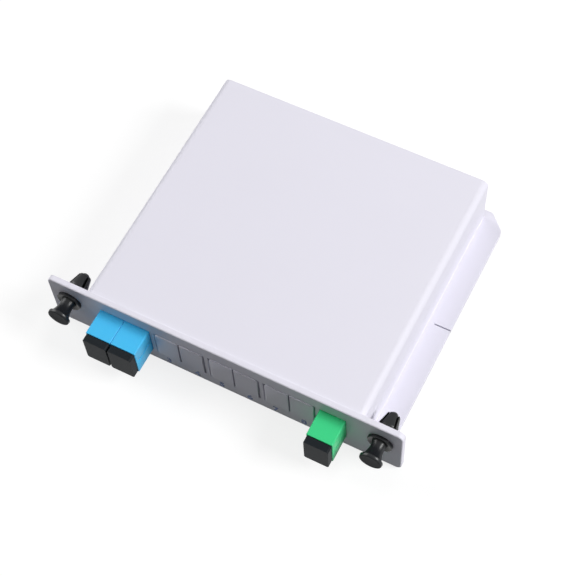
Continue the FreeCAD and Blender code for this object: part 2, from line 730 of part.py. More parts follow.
def build_grommet(label, x):
    """The latch's split grommet: dished disc, barrel and four prongs."""
    body = new_body(label)
    bore = s.shaft_radius + s.shaft_gap
    neck = s.barrel_radius - s.barrel_step
    face = -s.disc_thickness
    shoulder = s.panel_thickness + s.latch_hole_gap
    revolve(body, [
        (bore, face + s.disc_dish),
        (s.neck_radius + s.shaft_gap, face + s.disc_dish),
        (s.disc_radius - s.disc_lip, face),
        (s.disc_radius, face),
        (s.disc_radius, 0.0),
        (neck, 0.0),
        (neck, shoulder),
        (s.barrel_radius, shoulder),
        (s.barrel_radius, s.barrel_length),
        (s.prong_tip, s.prong_length),
        (bore, s.prong_length),
    ])
    reach = s.barrel_radius + s.prong_slot
    half = s.prong_slot / math.sqrt(8)  # half a slot's width, measured along X
    rising = [(reach - half, reach + half), (-reach - half, half - reach),
              (half - reach, -reach - half), (reach + half, reach - half)]
    falling = [(-x, z) for x, z in rising]
    for outline in (rising, falling):
        along_y(body, "Pocket", s.slot_start, s.prong_length, [outline])
    place(body, x, 0.0, s.latch_height)
    return body


def build_plunger(label, x):
    """The latch's plunger: waisted knob and the shaft that keeps the prongs spread."""
    body = new_body(label)
    face = -(s.disc_thickness + s.knob_reach)
    rim_back = face + s.knob_rim
    foot = s.disc_dish - s.disc_thickness - s.shaft_gap
    tip = s.prong_length + s.shaft_nose
    revolve(body, [
        (0.0, tip),
        (s.nose_tip, tip),
        (s.shaft_radius, s.prong_length),
        (s.shaft_radius, foot),
        (s.neck_radius, foot),
        (s.waist_radius, (foot + rim_back) / 2),
        (s.flare_radius, rim_back + s.flare_back),
        (s.knob_radius - s.knob_soft, rim_back),
        (s.knob_radius, rim_back - s.knob_soft),
        (s.knob_radius, face + s.knob_soft),
        (s.knob_radius - s.knob_soft, face),
        (0.0, face),
    ])
    place(body, x, 0.0, s.latch_height)
    return body


# ---------------------------------------------------------------- assembly

def build_port(name, x, chip_side, spread):
    """Everything that belongs to one used port."""
    return [
        build_adapter_half(f"{name}_adapter_front", x, True),
        build_adapter_half(f"{name}_adapter_rear", x, False),
        build_holder(f"{name}_sleeve_holder_front", x, True),
        build_holder(f"{name}_sleeve_holder_rear", x, False),
        build_split_sleeve(f"{name}_split_sleeve", x),
        build_dust_cap(f"{name}_dust_cap", x),
        *build_plug(name, x),
        build_pigtail(name, x, chip_side, spread),
    ]


def build_all():
    """Build every sub-part and list them in order."""
    parts = [build_case_body(), build_base_cover(), build_screws()]
    for index, port in enumerate(BLANKED_PORTS):
        parts.append(build_blank(port, BLANK_BAYS[index], index % 2))
    outer_x = port_x(0, 0)
    inner_x = port_x(0, 1)
    input_x = port_x(DUPLEX_BAYS, 0)
    parts += build_port("output_1", outer_x, -1, s.fibre_spread / 2)
    parts += build_port("output_2", inner_x, -1, -s.fibre_spread / 2)
    parts += build_port("input", input_x, 1, 0.0 * s.fibre_spread)
    parts.append(build_chip())
    for side, x in (("left", -latch_half), ("right", latch_half)):
        parts.append(build_grommet(f"latch_{side}_grommet", x))
        parts.append(build_plunger(f"latch_{side}_plunger", x))
    return parts


def export(parts):
    """Check every object, then write one file for each sub-part."""
    doc.recompute()
    for thing in doc.Objects:
        if "Invalid" in thing.State or "Error" in thing.State:
            raise RuntimeError(f"{thing.Label} failed: {thing.State}")
    for part in parts:
        if part.Shape.isNull() or not part.Shape.isValid():
            raise RuntimeError(f"{part.Label} has no valid shape")
    os.makedirs("parts", exist_ok=True)
    for part in parts:
        part.Shape.exportStep(os.path.join("parts", f"{part.Label}.step"))
    print(f"{len(parts)} sub-parts written")


export(build_all())
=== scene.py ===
"""Looks of the fibre splitter: moulded case, blanked ports, capped adapters and push-pull latches.

Every mesh is in metres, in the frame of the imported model. Sizes given to the makers are in
millimetres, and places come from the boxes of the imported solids.
"""

from __future__ import annotations

import json
import logging
import math
from dataclasses import dataclass, replace
from enum import Enum
from typing import Callable, Iterable, Sequence

import bmesh
import bpy
from mathutils import Matrix, Vector

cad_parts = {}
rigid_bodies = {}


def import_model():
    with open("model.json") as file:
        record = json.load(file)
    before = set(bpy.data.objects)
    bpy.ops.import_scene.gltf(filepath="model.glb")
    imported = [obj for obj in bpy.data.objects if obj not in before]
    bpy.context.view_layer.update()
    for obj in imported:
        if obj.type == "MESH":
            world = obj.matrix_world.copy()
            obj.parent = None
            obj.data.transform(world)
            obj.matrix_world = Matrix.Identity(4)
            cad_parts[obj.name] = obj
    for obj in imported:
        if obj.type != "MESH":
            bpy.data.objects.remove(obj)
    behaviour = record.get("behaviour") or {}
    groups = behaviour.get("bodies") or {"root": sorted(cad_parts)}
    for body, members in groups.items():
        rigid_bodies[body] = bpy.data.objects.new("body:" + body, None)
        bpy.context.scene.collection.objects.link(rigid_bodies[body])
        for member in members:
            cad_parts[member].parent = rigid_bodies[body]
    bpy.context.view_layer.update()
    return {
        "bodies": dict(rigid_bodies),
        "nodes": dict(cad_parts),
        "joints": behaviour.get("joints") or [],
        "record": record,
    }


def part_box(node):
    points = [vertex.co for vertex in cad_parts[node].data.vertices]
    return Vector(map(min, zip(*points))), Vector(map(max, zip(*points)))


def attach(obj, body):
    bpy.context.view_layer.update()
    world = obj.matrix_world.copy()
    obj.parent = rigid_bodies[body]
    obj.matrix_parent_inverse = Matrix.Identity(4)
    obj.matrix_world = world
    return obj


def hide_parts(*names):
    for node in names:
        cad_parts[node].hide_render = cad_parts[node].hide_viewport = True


LOG = logging.getLogger("splitter")
MM = 0.001
CASE_BODY = "splitter_case"
WHITE = (1.0, 1.0, 1.0, 1.0)
UNUSED_PORTS = range(3, 9)
PRONGS = 4
JOIN = 0.002  # corners nearer than this many millimetres are one
FLAT = 0.4  # faces that meet flatter than this many degrees are one
NEAR = 0.01  # allowance in millimetres when places are compared
ALONG = 0.999  # share of an edge's length that has to lie along an axis
Point = tuple[float, float]
Triple = tuple[float, float, float]
EdgeTest = Callable[[bmesh.types.BMEdge], bool]


class Slot(Enum):
    """The record's material slots."""

    CASE = "case_white"
    BLUE = "adapter_blue"
    GREEN = "adapter_green"
    HOLDER = "holder_white"
    CERAMIC = "ceramic_white"
    CAP = "cap_black"
    LATCH = "latch_black"
    PLUG_BLUE = "plug_blue"
    PLUG_GREEN = "plug_green"
    BOOT = "boot_white"
    FIBRE = "fibre_jacket"
    CHIP = "chip_steel"
    SCREW = "screw_steel"


class Port(Enum):
    """The three ports that carry an adapter, with the finish of each."""

    OUTPUT_1 = ("output_1", Slot.BLUE, Slot.PLUG_BLUE)
    OUTPUT_2 = ("output_2", Slot.BLUE, Slot.PLUG_BLUE)
    INPUT = ("input", Slot.GREEN, Slot.PLUG_GREEN)

    @property
    def stem(self) -> str:
        """Start of the names of this port's nodes."""
        return self.value[0]

    @property
    def shell(self) -> Slot:
        """Finish of the adapter's two halves."""
        return self.value[1]

    @property
    def plug(self) -> Slot:
        """Finish of the inner plug."""
        return self.value[2]


class Shaping(Enum):
    """What one solid does to another."""

    CUT = "DIFFERENCE"
    WELD = "UNION"


# ---------------------------------------------------------------- meshes


def mesh_object(name: str, bm: bmesh.types.BMesh) -> bpy.types.Object:
    """Turn a working mesh into an object at the origin.

    Args:
        name: name of the object and its mesh.
        bm: the working mesh, which is freed.

    Returns:
        The new object, linked to the scene.
    """
    mesh = bpy.data.meshes.new(name)
    bm.to_mesh(mesh)
    bm.free()
    obj = bpy.data.objects.new(name, mesh)
    bpy.context.scene.collection.objects.link(obj)
    return obj


def settle(obj: bpy.types.Object) -> bpy.types.Object:
    """Replace an object's mesh by what its modifiers make of it, and drop the modifiers.

    Args:
        obj: the object.

    Returns:
        The same object with a plain mesh.
    """
    bpy.context.view_layer.update()
    evaluated = obj.evaluated_get(bpy.context.evaluated_depsgraph_get())
    mesh = bpy.data.meshes.new_from_object(evaluated)
    old = obj.data
    obj.modifiers.clear()
    obj.data = mesh
    bpy.data.meshes.remove(old)
    mesh.name = obj.name
    return obj


def soften(obj: bpy.types.Object, width: float, steps: int = 2,
           angle: float = 35.0) -> bpy.types.Object:
    """Round the sharp edges of an object and let its flat faces stay flat in the shading.

    Args:
        obj: the object.
        width: width of the rounding in millimetres.
        steps: number of strips across it.
        angle: edges sharper than this many degrees are rounded.

    Returns:
        The same object with a plain mesh.
    """
    obj.data.shade_smooth()
    bevel = obj.modifiers.new("edges", "BEVEL")
    bevel.width = width * MM
    bevel.segments = steps
    bevel.limit_method = "ANGLE"
    bevel.angle_limit = math.radians(angle)
    bevel.use_clamp_overlap = False
    bevel.miter_outer = "MITER_ARC"
    even = obj.modifiers.new("even", "WEIGHTED_NORMAL")
    even.mode = "FACE_AREA_WITH_ANGLE"
    even.weight = 100
    even.keep_sharp = True
    return settle(obj)


def smooth_by_angle(obj: bpy.types.Object, angle: float = 35.0) -> bpy.types.Object:
    """Shade an object smooth, except across its sharp edges.

    Args:
        obj: the object.
        angle: edges sharper than this many degrees stay sharp.

    Returns:
        The same object.
    """
    obj.data.shade_smooth()
    obj.data.set_sharp_from_angle(angle=math.radians(angle))
    return obj


def shape(obj: bpy.types.Object, other: bpy.types.Object,
          how: Shaping = Shaping.CUT) -> bpy.types.Object:
    """Cut one object out of another or weld it on, and remove it.

    Args:
        obj: the object that is kept.
        other: the object that shapes it.
        how: whether it cuts or is welded on.

    Returns:
        The kept object, with a plain mesh.
    """
    step = obj.modifiers.new("shape", "BOOLEAN")
    step.operation = how.value
    step.solver = "EXACT"
    step.object = other
    settle(obj)
    mesh = other.data
    bpy.data.objects.remove(other)
    bpy.data.meshes.remove(mesh)
    return obj


def add_block(bm: bmesh.types.BMesh, low: Sequence[float], high: Sequence[float]) -> None:
    """Add a block between two corners, given in metres.

    Args:
        bm: the working mesh.
        low: the lowest corner.
        high: the highest corner.
    """
    for vert in bmesh.ops.create_cube(bm, size=1.0)["verts"]:
        vert.co = Vector(high[i] if vert.co[i] > 0 else low[i] for i in range(3))


def round_edges(bm: bmesh.types.BMesh, test: EdgeTest, width: float, steps: int) -> None:
    """Round or bevel the edges that pass a test.

    Args:
        bm: the working mesh.
        test: picks the edges.
        width: width in millimetres.
        steps: strips across it, 1 for a flat bevel.
    """
    edges = [edge for edge in bm.edges if test(edge)]
    if not edges:
        raise ValueError("no edge to round")
    bmesh.ops.bevel(bm, geom=edges, offset=width * MM, segments=steps, profile=0.5, affect="EDGES",
                    clamp_overlap=True)


def runs(edge: bmesh.types.BMEdge, axis: int) -> bool:
    """Whether an edge lies along one axis, numbered from 0."""
    way = edge.verts[1].co - edge.verts[0].co
    return abs(way[axis]) > ALONG * way.length


def middle(edge: bmesh.types.BMEdge) -> Vector:
    """Middle of an edge."""
    return (edge.verts[0].co + edge.verts[1].co) / 2


def block(name: str, low: Sequence[float], high: Sequence[float], test: EdgeTest | None = None,
          width: float = 0.0, steps: int = 1) -> bpy.types.Object:
    """Make a block between two corners, with some of its edges rounded or bevelled.

    Args:
        name: name of the object.
        low: the lowest corner, in metres.
        high: the highest corner.
        test: picks the edges to round, none if it isn't given.
        width: width of the rounding in millimetres.
        steps: strips across it, 1 for a flat bevel.

    Returns:
        The block.
    """
    bm = bmesh.new()
    add_block(bm, low, high)
    if test is not None:
        round_edges(bm, test, width, steps)
    return mesh_object(name, bm)


def panel_front() -> float:
    """Place of the panel's front face along Y."""
    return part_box("case_body")[0].y


def front_middle(node: str) -> Vector:
    """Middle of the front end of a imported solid's box."""
    low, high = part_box(node)
    return Vector(((low.x + high.x) / 2, low.y, (low.z + high.z) / 2))


def lathe(name: str, profile: Sequence[Point], centre: Vector, steps: int) -> bpy.types.Object:
    """Turn a closed profile about an axis along Y.

    Args:
        name: name of the object.
        profile: points (radius, distance along Y) in millimetres. The shape is closed by the
            axis where its ends lie on it, or by the run from the last point to the first.
        centre: a point on the axis, in metres.
        steps: number of divisions of the circle.

    Returns:
        The turned object.
    """
    bm = bmesh.new()
    rings: list[list[bmesh.types.BMVert]] = []
    for radius, along in profile:
        if radius <= 0.0:
            rings.append([bm.verts.new(centre + Vector((0.0, along * MM, 0.0)))])
            continue
        ring = []
        for step in range(steps):
            turn = math.tau * step / steps
            ring.append(bm.verts.new(centre + MM * Vector(
                (radius * math.cos(turn), along, radius * math.sin(turn)))))
        rings.append(ring)
    pairs = list(zip(rings, rings[1:]))
    if len(rings[0]) > 1 and len(rings[-1]) > 1:
        pairs.append((rings[-1], rings[0]))
    for one, two in pairs:
        for step in range(steps):
            following = (step + 1) % steps
            corners = [one[step % len(one)], one[following % len(one)],
                       two[following % len(two)], two[step % len(two)]]
            corners = list(dict.fromkeys(corners))
            if len(corners) > 2:
                bm.faces.new(corners)
    bmesh.ops.recalc_face_normals(bm, faces=bm.faces)
    return mesh_object(name, bm)


def merged_copy(node: str, frame: dict) -> bmesh.types.BMesh:
    """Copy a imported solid's loose triangles and join them at their corners.

    Args:
        node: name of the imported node.

    Returns:
        The working mesh.
    """
    bm = bmesh.new()
    bm.from_mesh(frame["nodes"][node].data)
    bmesh.ops.remove_doubles(bm, verts=bm.verts, dist=JOIN * MM)
    return bm


def solid_copy(node: str, name: str, frame: dict) -> bpy.types.Object:
    """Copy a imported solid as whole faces, ready to have its edges rounded.

    Args:
        node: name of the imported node.
        name: name of the new piece.

    Returns:
        The new object.
    """
    bm = merged_copy(node, frame)
    bmesh.ops.dissolve_limit(bm, angle_limit=math.radians(FLAT), verts=bm.verts, edges=bm.edges,
                             use_dissolve_boundaries=False)
    return mesh_object(name, bm)


# ---------------------------------------------------------------- shader parts


def add_node(tree: bpy.types.NodeTree, kind: str, place: Point = (0.0, 0.0),
             **values: object) -> bpy.types.Node:
    """Add a node and set its properties and its unlinked inputs.

    Args:
        tree: the node tree.
        kind: type of the node.
        place: position in the editor.
        values: properties by name, or inputs by name with spaces as underscores.

    Returns:
        The node.
    """
    node = tree.nodes.new(kind)
    node.location = place
    for name, value in values.items():
        label = name.replace("_", " ")
        if label in node.inputs:
            node.inputs[label].default_value = value
        else:
            setattr(node, name, value)
    return node


def new_group(name: str, inputs: dict[str, tuple[str, object]],
              outputs: dict[str, str]) -> bpy.types.NodeTree:
    """Start a shader node group with named sockets.

    Args:
        name: name of the group.
        inputs: socket type and default value by name.
        outputs: socket type by name.

    Returns:
        The group, with its input and output nodes named "in" and "out".
    """
    group = bpy.data.node_groups.new(name, "ShaderNodeTree")
    for label, (kind, value) in inputs.items():
        socket = group.interface.new_socket(name=label, in_out="INPUT", socket_type=kind)
        socket.default_value = value
    for label, kind in outputs.items():
        group.interface.new_socket(name=label, in_out="OUTPUT", socket_type=kind)
    add_node(group, "NodeGroupInput", (-900.0, 0.0), name="in")
    add_node(group, "NodeGroupOutput", (700.0, 0.0), name="out")
    return group


def moulded_grain() -> bpy.types.NodeTree:
    """The skin of a moulding: fine pits, a slow drift of shade and a drift of gloss.

    Returns:
        A group that takes a colour, the size of the grain and how strong each effect is, and
        puts out a colour, a roughness and a height.
    """
    found = bpy.data.node_groups.get("Moulded grain")
    if found:
        return found
    group = new_group(
        "Moulded grain",
        {"Color": ("NodeSocketColor", (0.8, 0.8, 0.8, 1.0)),
         "Grain": ("NodeSocketFloat", 2500.0),
         "Shade": ("NodeSocketFloat", 0.03),
         "Gloss": ("NodeSocketFloat", 0.4),
         "Gloss drift": ("NodeSocketFloat", 0.06)},
        {"Color": "NodeSocketColor", "Roughness": "NodeSocketFloat", "Height": "NodeSocketFloat"})
    inside, outside = group.nodes["in"], group.nodes["out"]
    link = group.links.new
    coords = add_node(group, "ShaderNodeTexCoord", (-900.0, 300.0))
    fine = add_node(group, "ShaderNodeTexNoise", (-600.0, 300.0), Detail=3.0, Roughness=0.6)
    slow = add_node(group, "ShaderNodeTexNoise", (-600.0, 0.0), Scale=38.0, Detail=2.0, Roughness=0.5)
    link(coords.outputs["Object"], fine.inputs["Vector"])
    link(coords.outputs["Object"], slow.inputs["Vector"])
    link(inside.outputs["Grain"], fine.inputs["Scale"])

    centred = add_node(group, "ShaderNodeMath", (-400.0, 0.0), operation="SUBTRACT")
    centred.inputs[1].default_value = 0.5
    link(slow.outputs["Fac"], centred.inputs[0])
    shade = add_node(group, "ShaderNodeMath", (-200.0, 60.0), operation="MULTIPLY_ADD")
    shade.inputs[2].default_value = 1.0
    link(centred.outputs[0], shade.inputs[0])
    link(inside.outputs["Shade"], shade.inputs[1])
    tint = add_node(group, "ShaderNodeVectorMath", (0.0, 60.0), operation="SCALE")
    link(inside.outputs["Color"], tint.inputs[0])
    link(shade.outputs[0], tint.inputs["Scale"])
    link(tint.outputs[0], outside.inputs["Color"])

    gloss = add_node(group, "ShaderNodeMath", (-200.0, -160.0), operation="MULTIPLY_ADD")
    link(fine.outputs["Fac"], gloss.inputs[0])
    link(inside.outputs["Gloss drift"], gloss.inputs[1])
    link(inside.outputs["Gloss"], gloss.inputs[2])
    link(gloss.outputs[0], outside.inputs["Roughness"])
    link(fine.outputs["Fac"], outside.inputs["Height"])
    return group


def edge_wear() -> bpy.types.NodeTree:
    """Where corners are rubbed and lightened: a mask from how far the rounded normal leaves the
    face's own, used for wear and for a painted edge highlight.

    Returns:
        A group that takes the width of the rubbed strip and its strength, and puts out a mask for
        wear and painted edge highlight.
    """
    found = bpy.data.node_groups.get("Edge wear and painted highlight")
    if found:
        return found
    group = new_group(
        "Edge wear and painted highlight",
        {"Width": ("NodeSocketFloat", 0.4 * MM), "Strength": ("NodeSocketFloat", 1.0)},
        {"Mask": "NodeSocketFloat"})
    inside, outside = group.nodes["in"], group.nodes["out"]
    link = group.links.new
    rounded = add_node(group, "ShaderNodeBevel", (-600.0, 100.0), samples=6)
    link(inside.outputs["Width"], rounded.inputs["Radius"])
    own = add_node(group, "ShaderNodeNewGeometry", (-600.0, -100.0))
    agree = add_node(group, "ShaderNodeVectorMath", (-400.0, 0.0), operation="DOT_PRODUCT")
    link(rounded.outputs[0], agree.inputs[0])
    link(own.outputs["Normal"], agree.inputs[1])
    leaves = add_node(group, "ShaderNodeMath", (-200.0, 0.0), operation="SUBTRACT")
    leaves.inputs[0].default_value = 1.0
    link(agree.outputs["Value"], leaves.inputs[1])
    coords = add_node(group, "ShaderNodeTexCoord", (-600.0, -350.0))
    patches = add_node(group, "ShaderNodeTexNoise", (-400.0, -350.0), Scale=420.0, Detail=4.0)
    link(coords.outputs["Object"], patches.inputs["Vector"])
    broken = add_node(group, "ShaderNodeMath", (0.0, -100.0), operation="MULTIPLY")
    link(leaves.outputs[0], broken.inputs[0])
    link(patches.outputs["Fac"], broken.inputs[1])
    scaled = add_node(group, "ShaderNodeMath", (200.0, 0.0), operation="MULTIPLY", use_clamp=True)
    link(broken.outputs[0], scaled.inputs[0])
    link(inside.outputs["Strength"], scaled.inputs[1])
    link(scaled.outputs[0], outside.inputs["Mask"])
    return group


# ---------------------------------------------------------------- finishes


@dataclass(frozen=True)
class Finish:
    """A moulded, rubber, ceramic or metal finish with grain, and rubbed edges lightened partly as
    wear and partly as a painted highlight.

    Attributes:
        name: name of the material.
        color: plain colour, linear.
        worn: colour of the rubbed edges, lighter than the plain colour as wear and as a painted edge
            highlight, linear.
        gloss: roughness.
        drift: how much the roughness follows the grain.
        grain: scale of the grain.
        depth: depth of the grain in millimetres.
        shade: how much the colour drifts.
        wear: strength of the rubbed edges and their painted highlight.
        metal: 1 for a metal.
        specular: specular level.
        coat: weight of a clear coat.
        bleed: share of light that scatters under the skin.
        soak: how deep it goes, in millimetres.
    """

    name: str
    color: Triple
    worn: Triple
    gloss: float
    drift: float = 0.08
    grain: float = 2600.0
    depth: float = 0.01
    shade: float = 0.03
    wear: float = 1.0
    metal: float = 0.0
    specular: float = 0.5
    coat: float = 0.0
    bleed: float = 0.0
    soak: float = 0.5

    def build(self) -> bpy.types.Material:
        """Make the material, once.

        Returns:
            The material.
        """
        found = bpy.data.materials.get(self.name)
        if found:
            return found
        material = bpy.data.materials.new(self.name)
        material.use_nodes = True
        tree = material.node_tree
        tree.nodes.clear()
        link = tree.links.new
        output = add_node(tree, "ShaderNodeOutputMaterial", (600.0, 0.0))
        shader = add_node(tree, "ShaderNodeBsdfPrincipled", (300.0, 0.0), Metallic=self.metal,
                          Specular_IOR_Level=self.specular, Coat_Weight=self.coat,
                          Subsurface_Weight=self.bleed, Subsurface_Scale=self.soak * MM)
        link(shader.outputs[0], output.inputs["Surface"])

        skin = add_node(tree, "ShaderNodeGroup", (-300.0, 100.0), node_tree=moulded_grain(),
                        Color=(*self.color, 1.0), Grain=self.grain, Shade=self.shade,
                        Gloss=self.gloss, Gloss_drift=self.drift)
        # Rubbed edges are mixed toward a lighter colour: partly wear, partly a painted highlight
        # along the edges.
        rubbed_and_lit = add_node(tree, "ShaderNodeGroup", (-300.0, -250.0), node_tree=edge_wear(),
                          Strength=self.wear)
        mix = add_node(tree, "ShaderNodeMix", (0.0, 100.0), data_type="RGBA")
        link(rubbed_and_lit.outputs["Mask"], mix.inputs["Factor"])
        fresh, worn = (socket for socket in mix.inputs if socket.type == "RGBA")
        link(skin.outputs["Color"], fresh)
        worn.default_value = (*self.worn, 1.0)
        mixed = next(socket for socket in mix.outputs if socket.type == "RGBA")
        link(mixed, shader.inputs["Base Color"])
        link(skin.outputs["Roughness"], shader.inputs["Roughness"])
        bump = add_node(tree, "ShaderNodeBump", (0.0, -150.0), Strength=1.0,
                        Distance=self.depth * MM)
        link(skin.outputs["Height"], bump.inputs["Height"])
        link(bump.outputs["Normal"], shader.inputs["Normal"])
        return material


@dataclass(frozen=True)
class FacedFinish(Finish):
    """A glossy finish that turns matt on the faces at the very front.

    Attributes:
        front: the place along Y, in millimetres, in front of which it is matt.
        matt: the roughness there.
    """

    front: float = -56.9
    matt: float = 0.82

    def build(self) -> bpy.types.Material:
        """Make the material, once.

        Returns:
            The material.
        """
        material = super().build()
        tree = material.node_tree
        if tree.nodes.get("matt front"):
            return material
        link = tree.links.new
        shader = next(node for node in tree.nodes if node.type == "BSDF_PRINCIPLED")
        glossy = shader.inputs["Roughness"].links[0].from_socket
        place = add_node(tree, "ShaderNodeTexCoord", (-700.0, 300.0))
        split = add_node(tree, "ShaderNodeSeparateXYZ", (-500.0, 300.0))
        ahead = add_node(tree, "ShaderNodeMath", (-300.0, 300.0), operation="LESS_THAN")
        ahead.inputs[1].default_value = self.front * MM
        mix = add_node(tree, "ShaderNodeMix", (0.0, 300.0), data_type="FLOAT", name="matt front")
        link(place.outputs["Object"], split.inputs[0])
        link(split.outputs["Y"], ahead.inputs[0])
        link(ahead.outputs[0], mix.inputs["Factor"])
        behind, front = [socket for socket in mix.inputs if socket.type == "VALUE"][1:3]
        link(glossy, behind)
        front.default_value = self.matt
        mixed = next(socket for socket in mix.outputs if socket.type == "VALUE")
        link(mixed, shader.inputs["Roughness"])
        return material


FINISHES: dict[Slot, Finish] = {
    # Each finish's second colour is for its rubbed edges and is lighter than the first: partly wear,
    # partly a painted edge highlight. The case's is the bluish white of a lit edge.
    Slot.CASE: Finish("cool white moulding", (0.79, 0.775, 0.86), (0.93, 0.92, 1.0), 0.42,
                      grain=1900.0, depth=0.012, shade=0.02, wear=1.2, specular=0.25),
    Slot.BLUE: Finish("blue moulding", (0.06, 0.52, 0.9), (0.22, 0.72, 1.0), 0.4,
                      shade=0.04, wear=1.4, specular=0.3, bleed=0.06),
    Slot.GREEN: Finish("green moulding", (0.05, 0.64, 0.245), (0.2, 0.92, 0.48), 0.4,
                       shade=0.04, wear=1.2, specular=0.18, bleed=0.03),
    Slot.HOLDER: Finish("natural white moulding", (0.78, 0.77, 0.72), (0.9, 0.9, 0.86), 0.4),
    Slot.CERAMIC: Finish("polished zirconia", (0.86, 0.86, 0.84), (0.95, 0.95, 0.95), 0.12,
                         drift=0.02, depth=0.001, coat=0.4),
    Slot.CAP: Finish("matt black moulding", (0.011, 0.014, 0.017), (0.05, 0.055, 0.06), 0.45,
                     grain=3200.0, depth=0.012, wear=1.2, specular=0.08),
    Slot.LATCH: FacedFinish("glossy black nylon", (0.008, 0.009, 0.011), (0.035, 0.036, 0.04), 0.26,
                            depth=0.005, specular=0.32),
    Slot.PLUG_BLUE: Finish("plug blue moulding", (0.05, 0.32, 0.7), (0.2, 0.5, 0.9), 0.4),
    Slot.PLUG_GREEN: Finish("plug green moulding", (0.05, 0.5, 0.2), (0.2, 0.7, 0.4), 0.4),
    Slot.BOOT: Finish("soft white rubber", (0.74, 0.74, 0.72), (0.85, 0.85, 0.85), 0.62,
                      grain=4200.0, depth=0.02),
    Slot.FIBRE: Finish("white fibre jacket", (0.8, 0.8, 0.78), (0.9, 0.9, 0.9), 0.45, depth=0.004),
    Slot.CHIP: Finish("drawn steel tube", (0.56, 0.56, 0.58), (0.75, 0.75, 0.75), 0.3,
                      drift=0.12, depth=0.004, metal=1.0),
    Slot.SCREW: Finish("zinc-plated steel", (0.6, 0.6, 0.62), (0.8, 0.8, 0.82), 0.28,
                       drift=0.12, depth=0.004, metal=1.0),
}
GROMMET = replace(FINISHES[Slot.LATCH], name="glossy black grommet", front=-49.85, matt=0.42)
INK = Finish("printed blue", (0.015, 0.055, 0.19), (0.05, 0.12, 0.3), 0.45, depth=0.003)


def dress(obj: bpy.types.Object, material: bpy.types.Material) -> None:
    """Give an object one material on every slot it has.

    Args:
        obj: the object.
        material: its material.
    """
    if not obj.data.materials:
        obj.data.materials.append(material)
    for index in range(len(obj.material_slots)):
        obj.material_slots[index].material = material


def put_on(obj: bpy.types.Object, slot: Slot, body: str, *nodes: str,
           finish: Finish | None = None) -> None:
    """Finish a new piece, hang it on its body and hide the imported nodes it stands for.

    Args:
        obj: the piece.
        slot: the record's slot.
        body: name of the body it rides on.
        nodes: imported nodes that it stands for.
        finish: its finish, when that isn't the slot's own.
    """
    dress(obj, (finish or FINISHES[slot]).build())
    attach(obj, body)
    if nodes:
        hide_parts(*nodes)
    LOG.info("%s: %d faces on %s", obj.name, len(obj.data.polygons), body)


# ---------------------------------------------------------------- repeats


class Grower:
    """Builds a geometry node tree and runs it on a piece's own mesh.

    Attributes:
        tree: the node tree.
        inputs: socket identifiers by input name.
        start: the tree's input node.
        end: the tree's output node.
    """

    def __init__(self, name: str, sizes: dict[str, str]) -> None:
        """Start a tree.

        Args:
            name: name of the tree.
            sizes: socket types of its inputs by name. The piece's mesh and its finish are added.
        """
        self.tree = bpy.data.node_groups.new(name, "GeometryNodeTree")
        self.inputs: dict[str, str] = {}
        new_socket = self.tree.interface.new_socket
        kinds = {"Geometry": "NodeSocketGeometry", **sizes, "Finish": "NodeSocketMaterial"}
        for label, kind in kinds.items():
            socket = new_socket(name=label, in_out="INPUT", socket_type=kind)
            self.inputs[label] = socket.identifier
        new_socket(name="Geometry", in_out="OUTPUT", socket_type="NodeSocketGeometry")
        self.start = self.add("NodeGroupInput")
        self.end = self.add("NodeGroupOutput")

    def add(self, kind: str, **values: object) -> bpy.types.Node:
        """Add a node with its properties and unlinked inputs."""
        return add_node(self.tree, kind, (220.0 * len(self.tree.nodes), 0.0), **values)

    def link(self, source: bpy.types.NodeSocket, target: bpy.types.NodeSocket) -> None:
        """Join two sockets."""
        self.tree.links.new(source, target)

    def size(self, label: str) -> bpy.types.NodeSocket:
        """The socket that gives one of the tree's inputs."""
        return self.start.outputs[label]

    def along(self, axis: str, length: bpy.types.NodeSocket) -> bpy.types.NodeSocket:
        """A vector along one axis, as long as a socket says."""
        vector = self.add("ShaderNodeCombineXYZ")
        self.link(length, vector.inputs[axis])
        return vector.outputs[0]

    def row(self, count: bpy.types.NodeSocket, first: bpy.types.NodeSocket | None = None,
            step: bpy.types.NodeSocket | None = None) -> bpy.types.NodeSocket:
        """Points in a row.

        Args:
            count: how many.
            first: where the first one stands, the origin if it isn't given.
            step: the way from one to the next, none if it isn't given.

        Returns:
            The points.
        """
        line = self.add("GeometryNodeMeshLine", mode="OFFSET", Offset=(0.0, 0.0, 0.0))
        self.link(count, line.inputs["Count"])
        for given, label in ((first, "Start Location"), (step, "Offset")):
            if given is not None:
                self.link(given, line.inputs[label])
        return line.outputs[0]

    def set_out(self, points: bpy.types.NodeSocket, piece: bpy.types.NodeSocket,
                turn: bpy.types.NodeSocket | None = None) -> bpy.types.NodeSocket:
        """Stand a piece on each point.

        Args:
            points: the points.
            piece: the piece.
            turn: its rotation on each point, none if it isn't given.

        Returns:
            The instances.
        """
        node = self.add("GeometryNodeInstanceOnPoints")
        self.link(points, node.inputs["Points"])
        self.link(piece, node.inputs["Instance"])
        if turn is not None:
            self.link(turn, node.inputs["Rotation"])
        return node.outputs[0]

    def close(self, instances: bpy.types.NodeSocket) -> None:
        """Turn the instances into plain geometry with the finish, and put it out.

        Args:
            instances: the socket that gives them.
        """
        real = self.add("GeometryNodeRealizeInstances")
        finish = self.add("GeometryNodeSetMaterial")
        self.link(instances, real.inputs[0])
        self.link(real.outputs[0], finish.inputs["Geometry"])
        self.link(self.size("Finish"), finish.inputs["Material"])
        self.link(finish.outputs[0], self.end.inputs[0])

    def grow(self, obj: bpy.types.Object, slot: Slot, **values: object) -> bpy.types.Object:
        """Run the tree on a piece and keep the result as its plain mesh.

        Args:
            obj: the piece, whose mesh is what the tree repeats.
            slot: the slot whose finish it gets.
            values: the tree's sizes by name, with spaces as underscores.

        Returns:
            The same piece.
        """
        modifier = obj.modifiers.new(self.tree.name, "NODES")
        modifier.node_group = self.tree
        for label, value in {**values, "Finish": FINISHES[slot].build()}.items():
            modifier[self.inputs[label.replace("_", " ")]] = value
        return settle(obj)


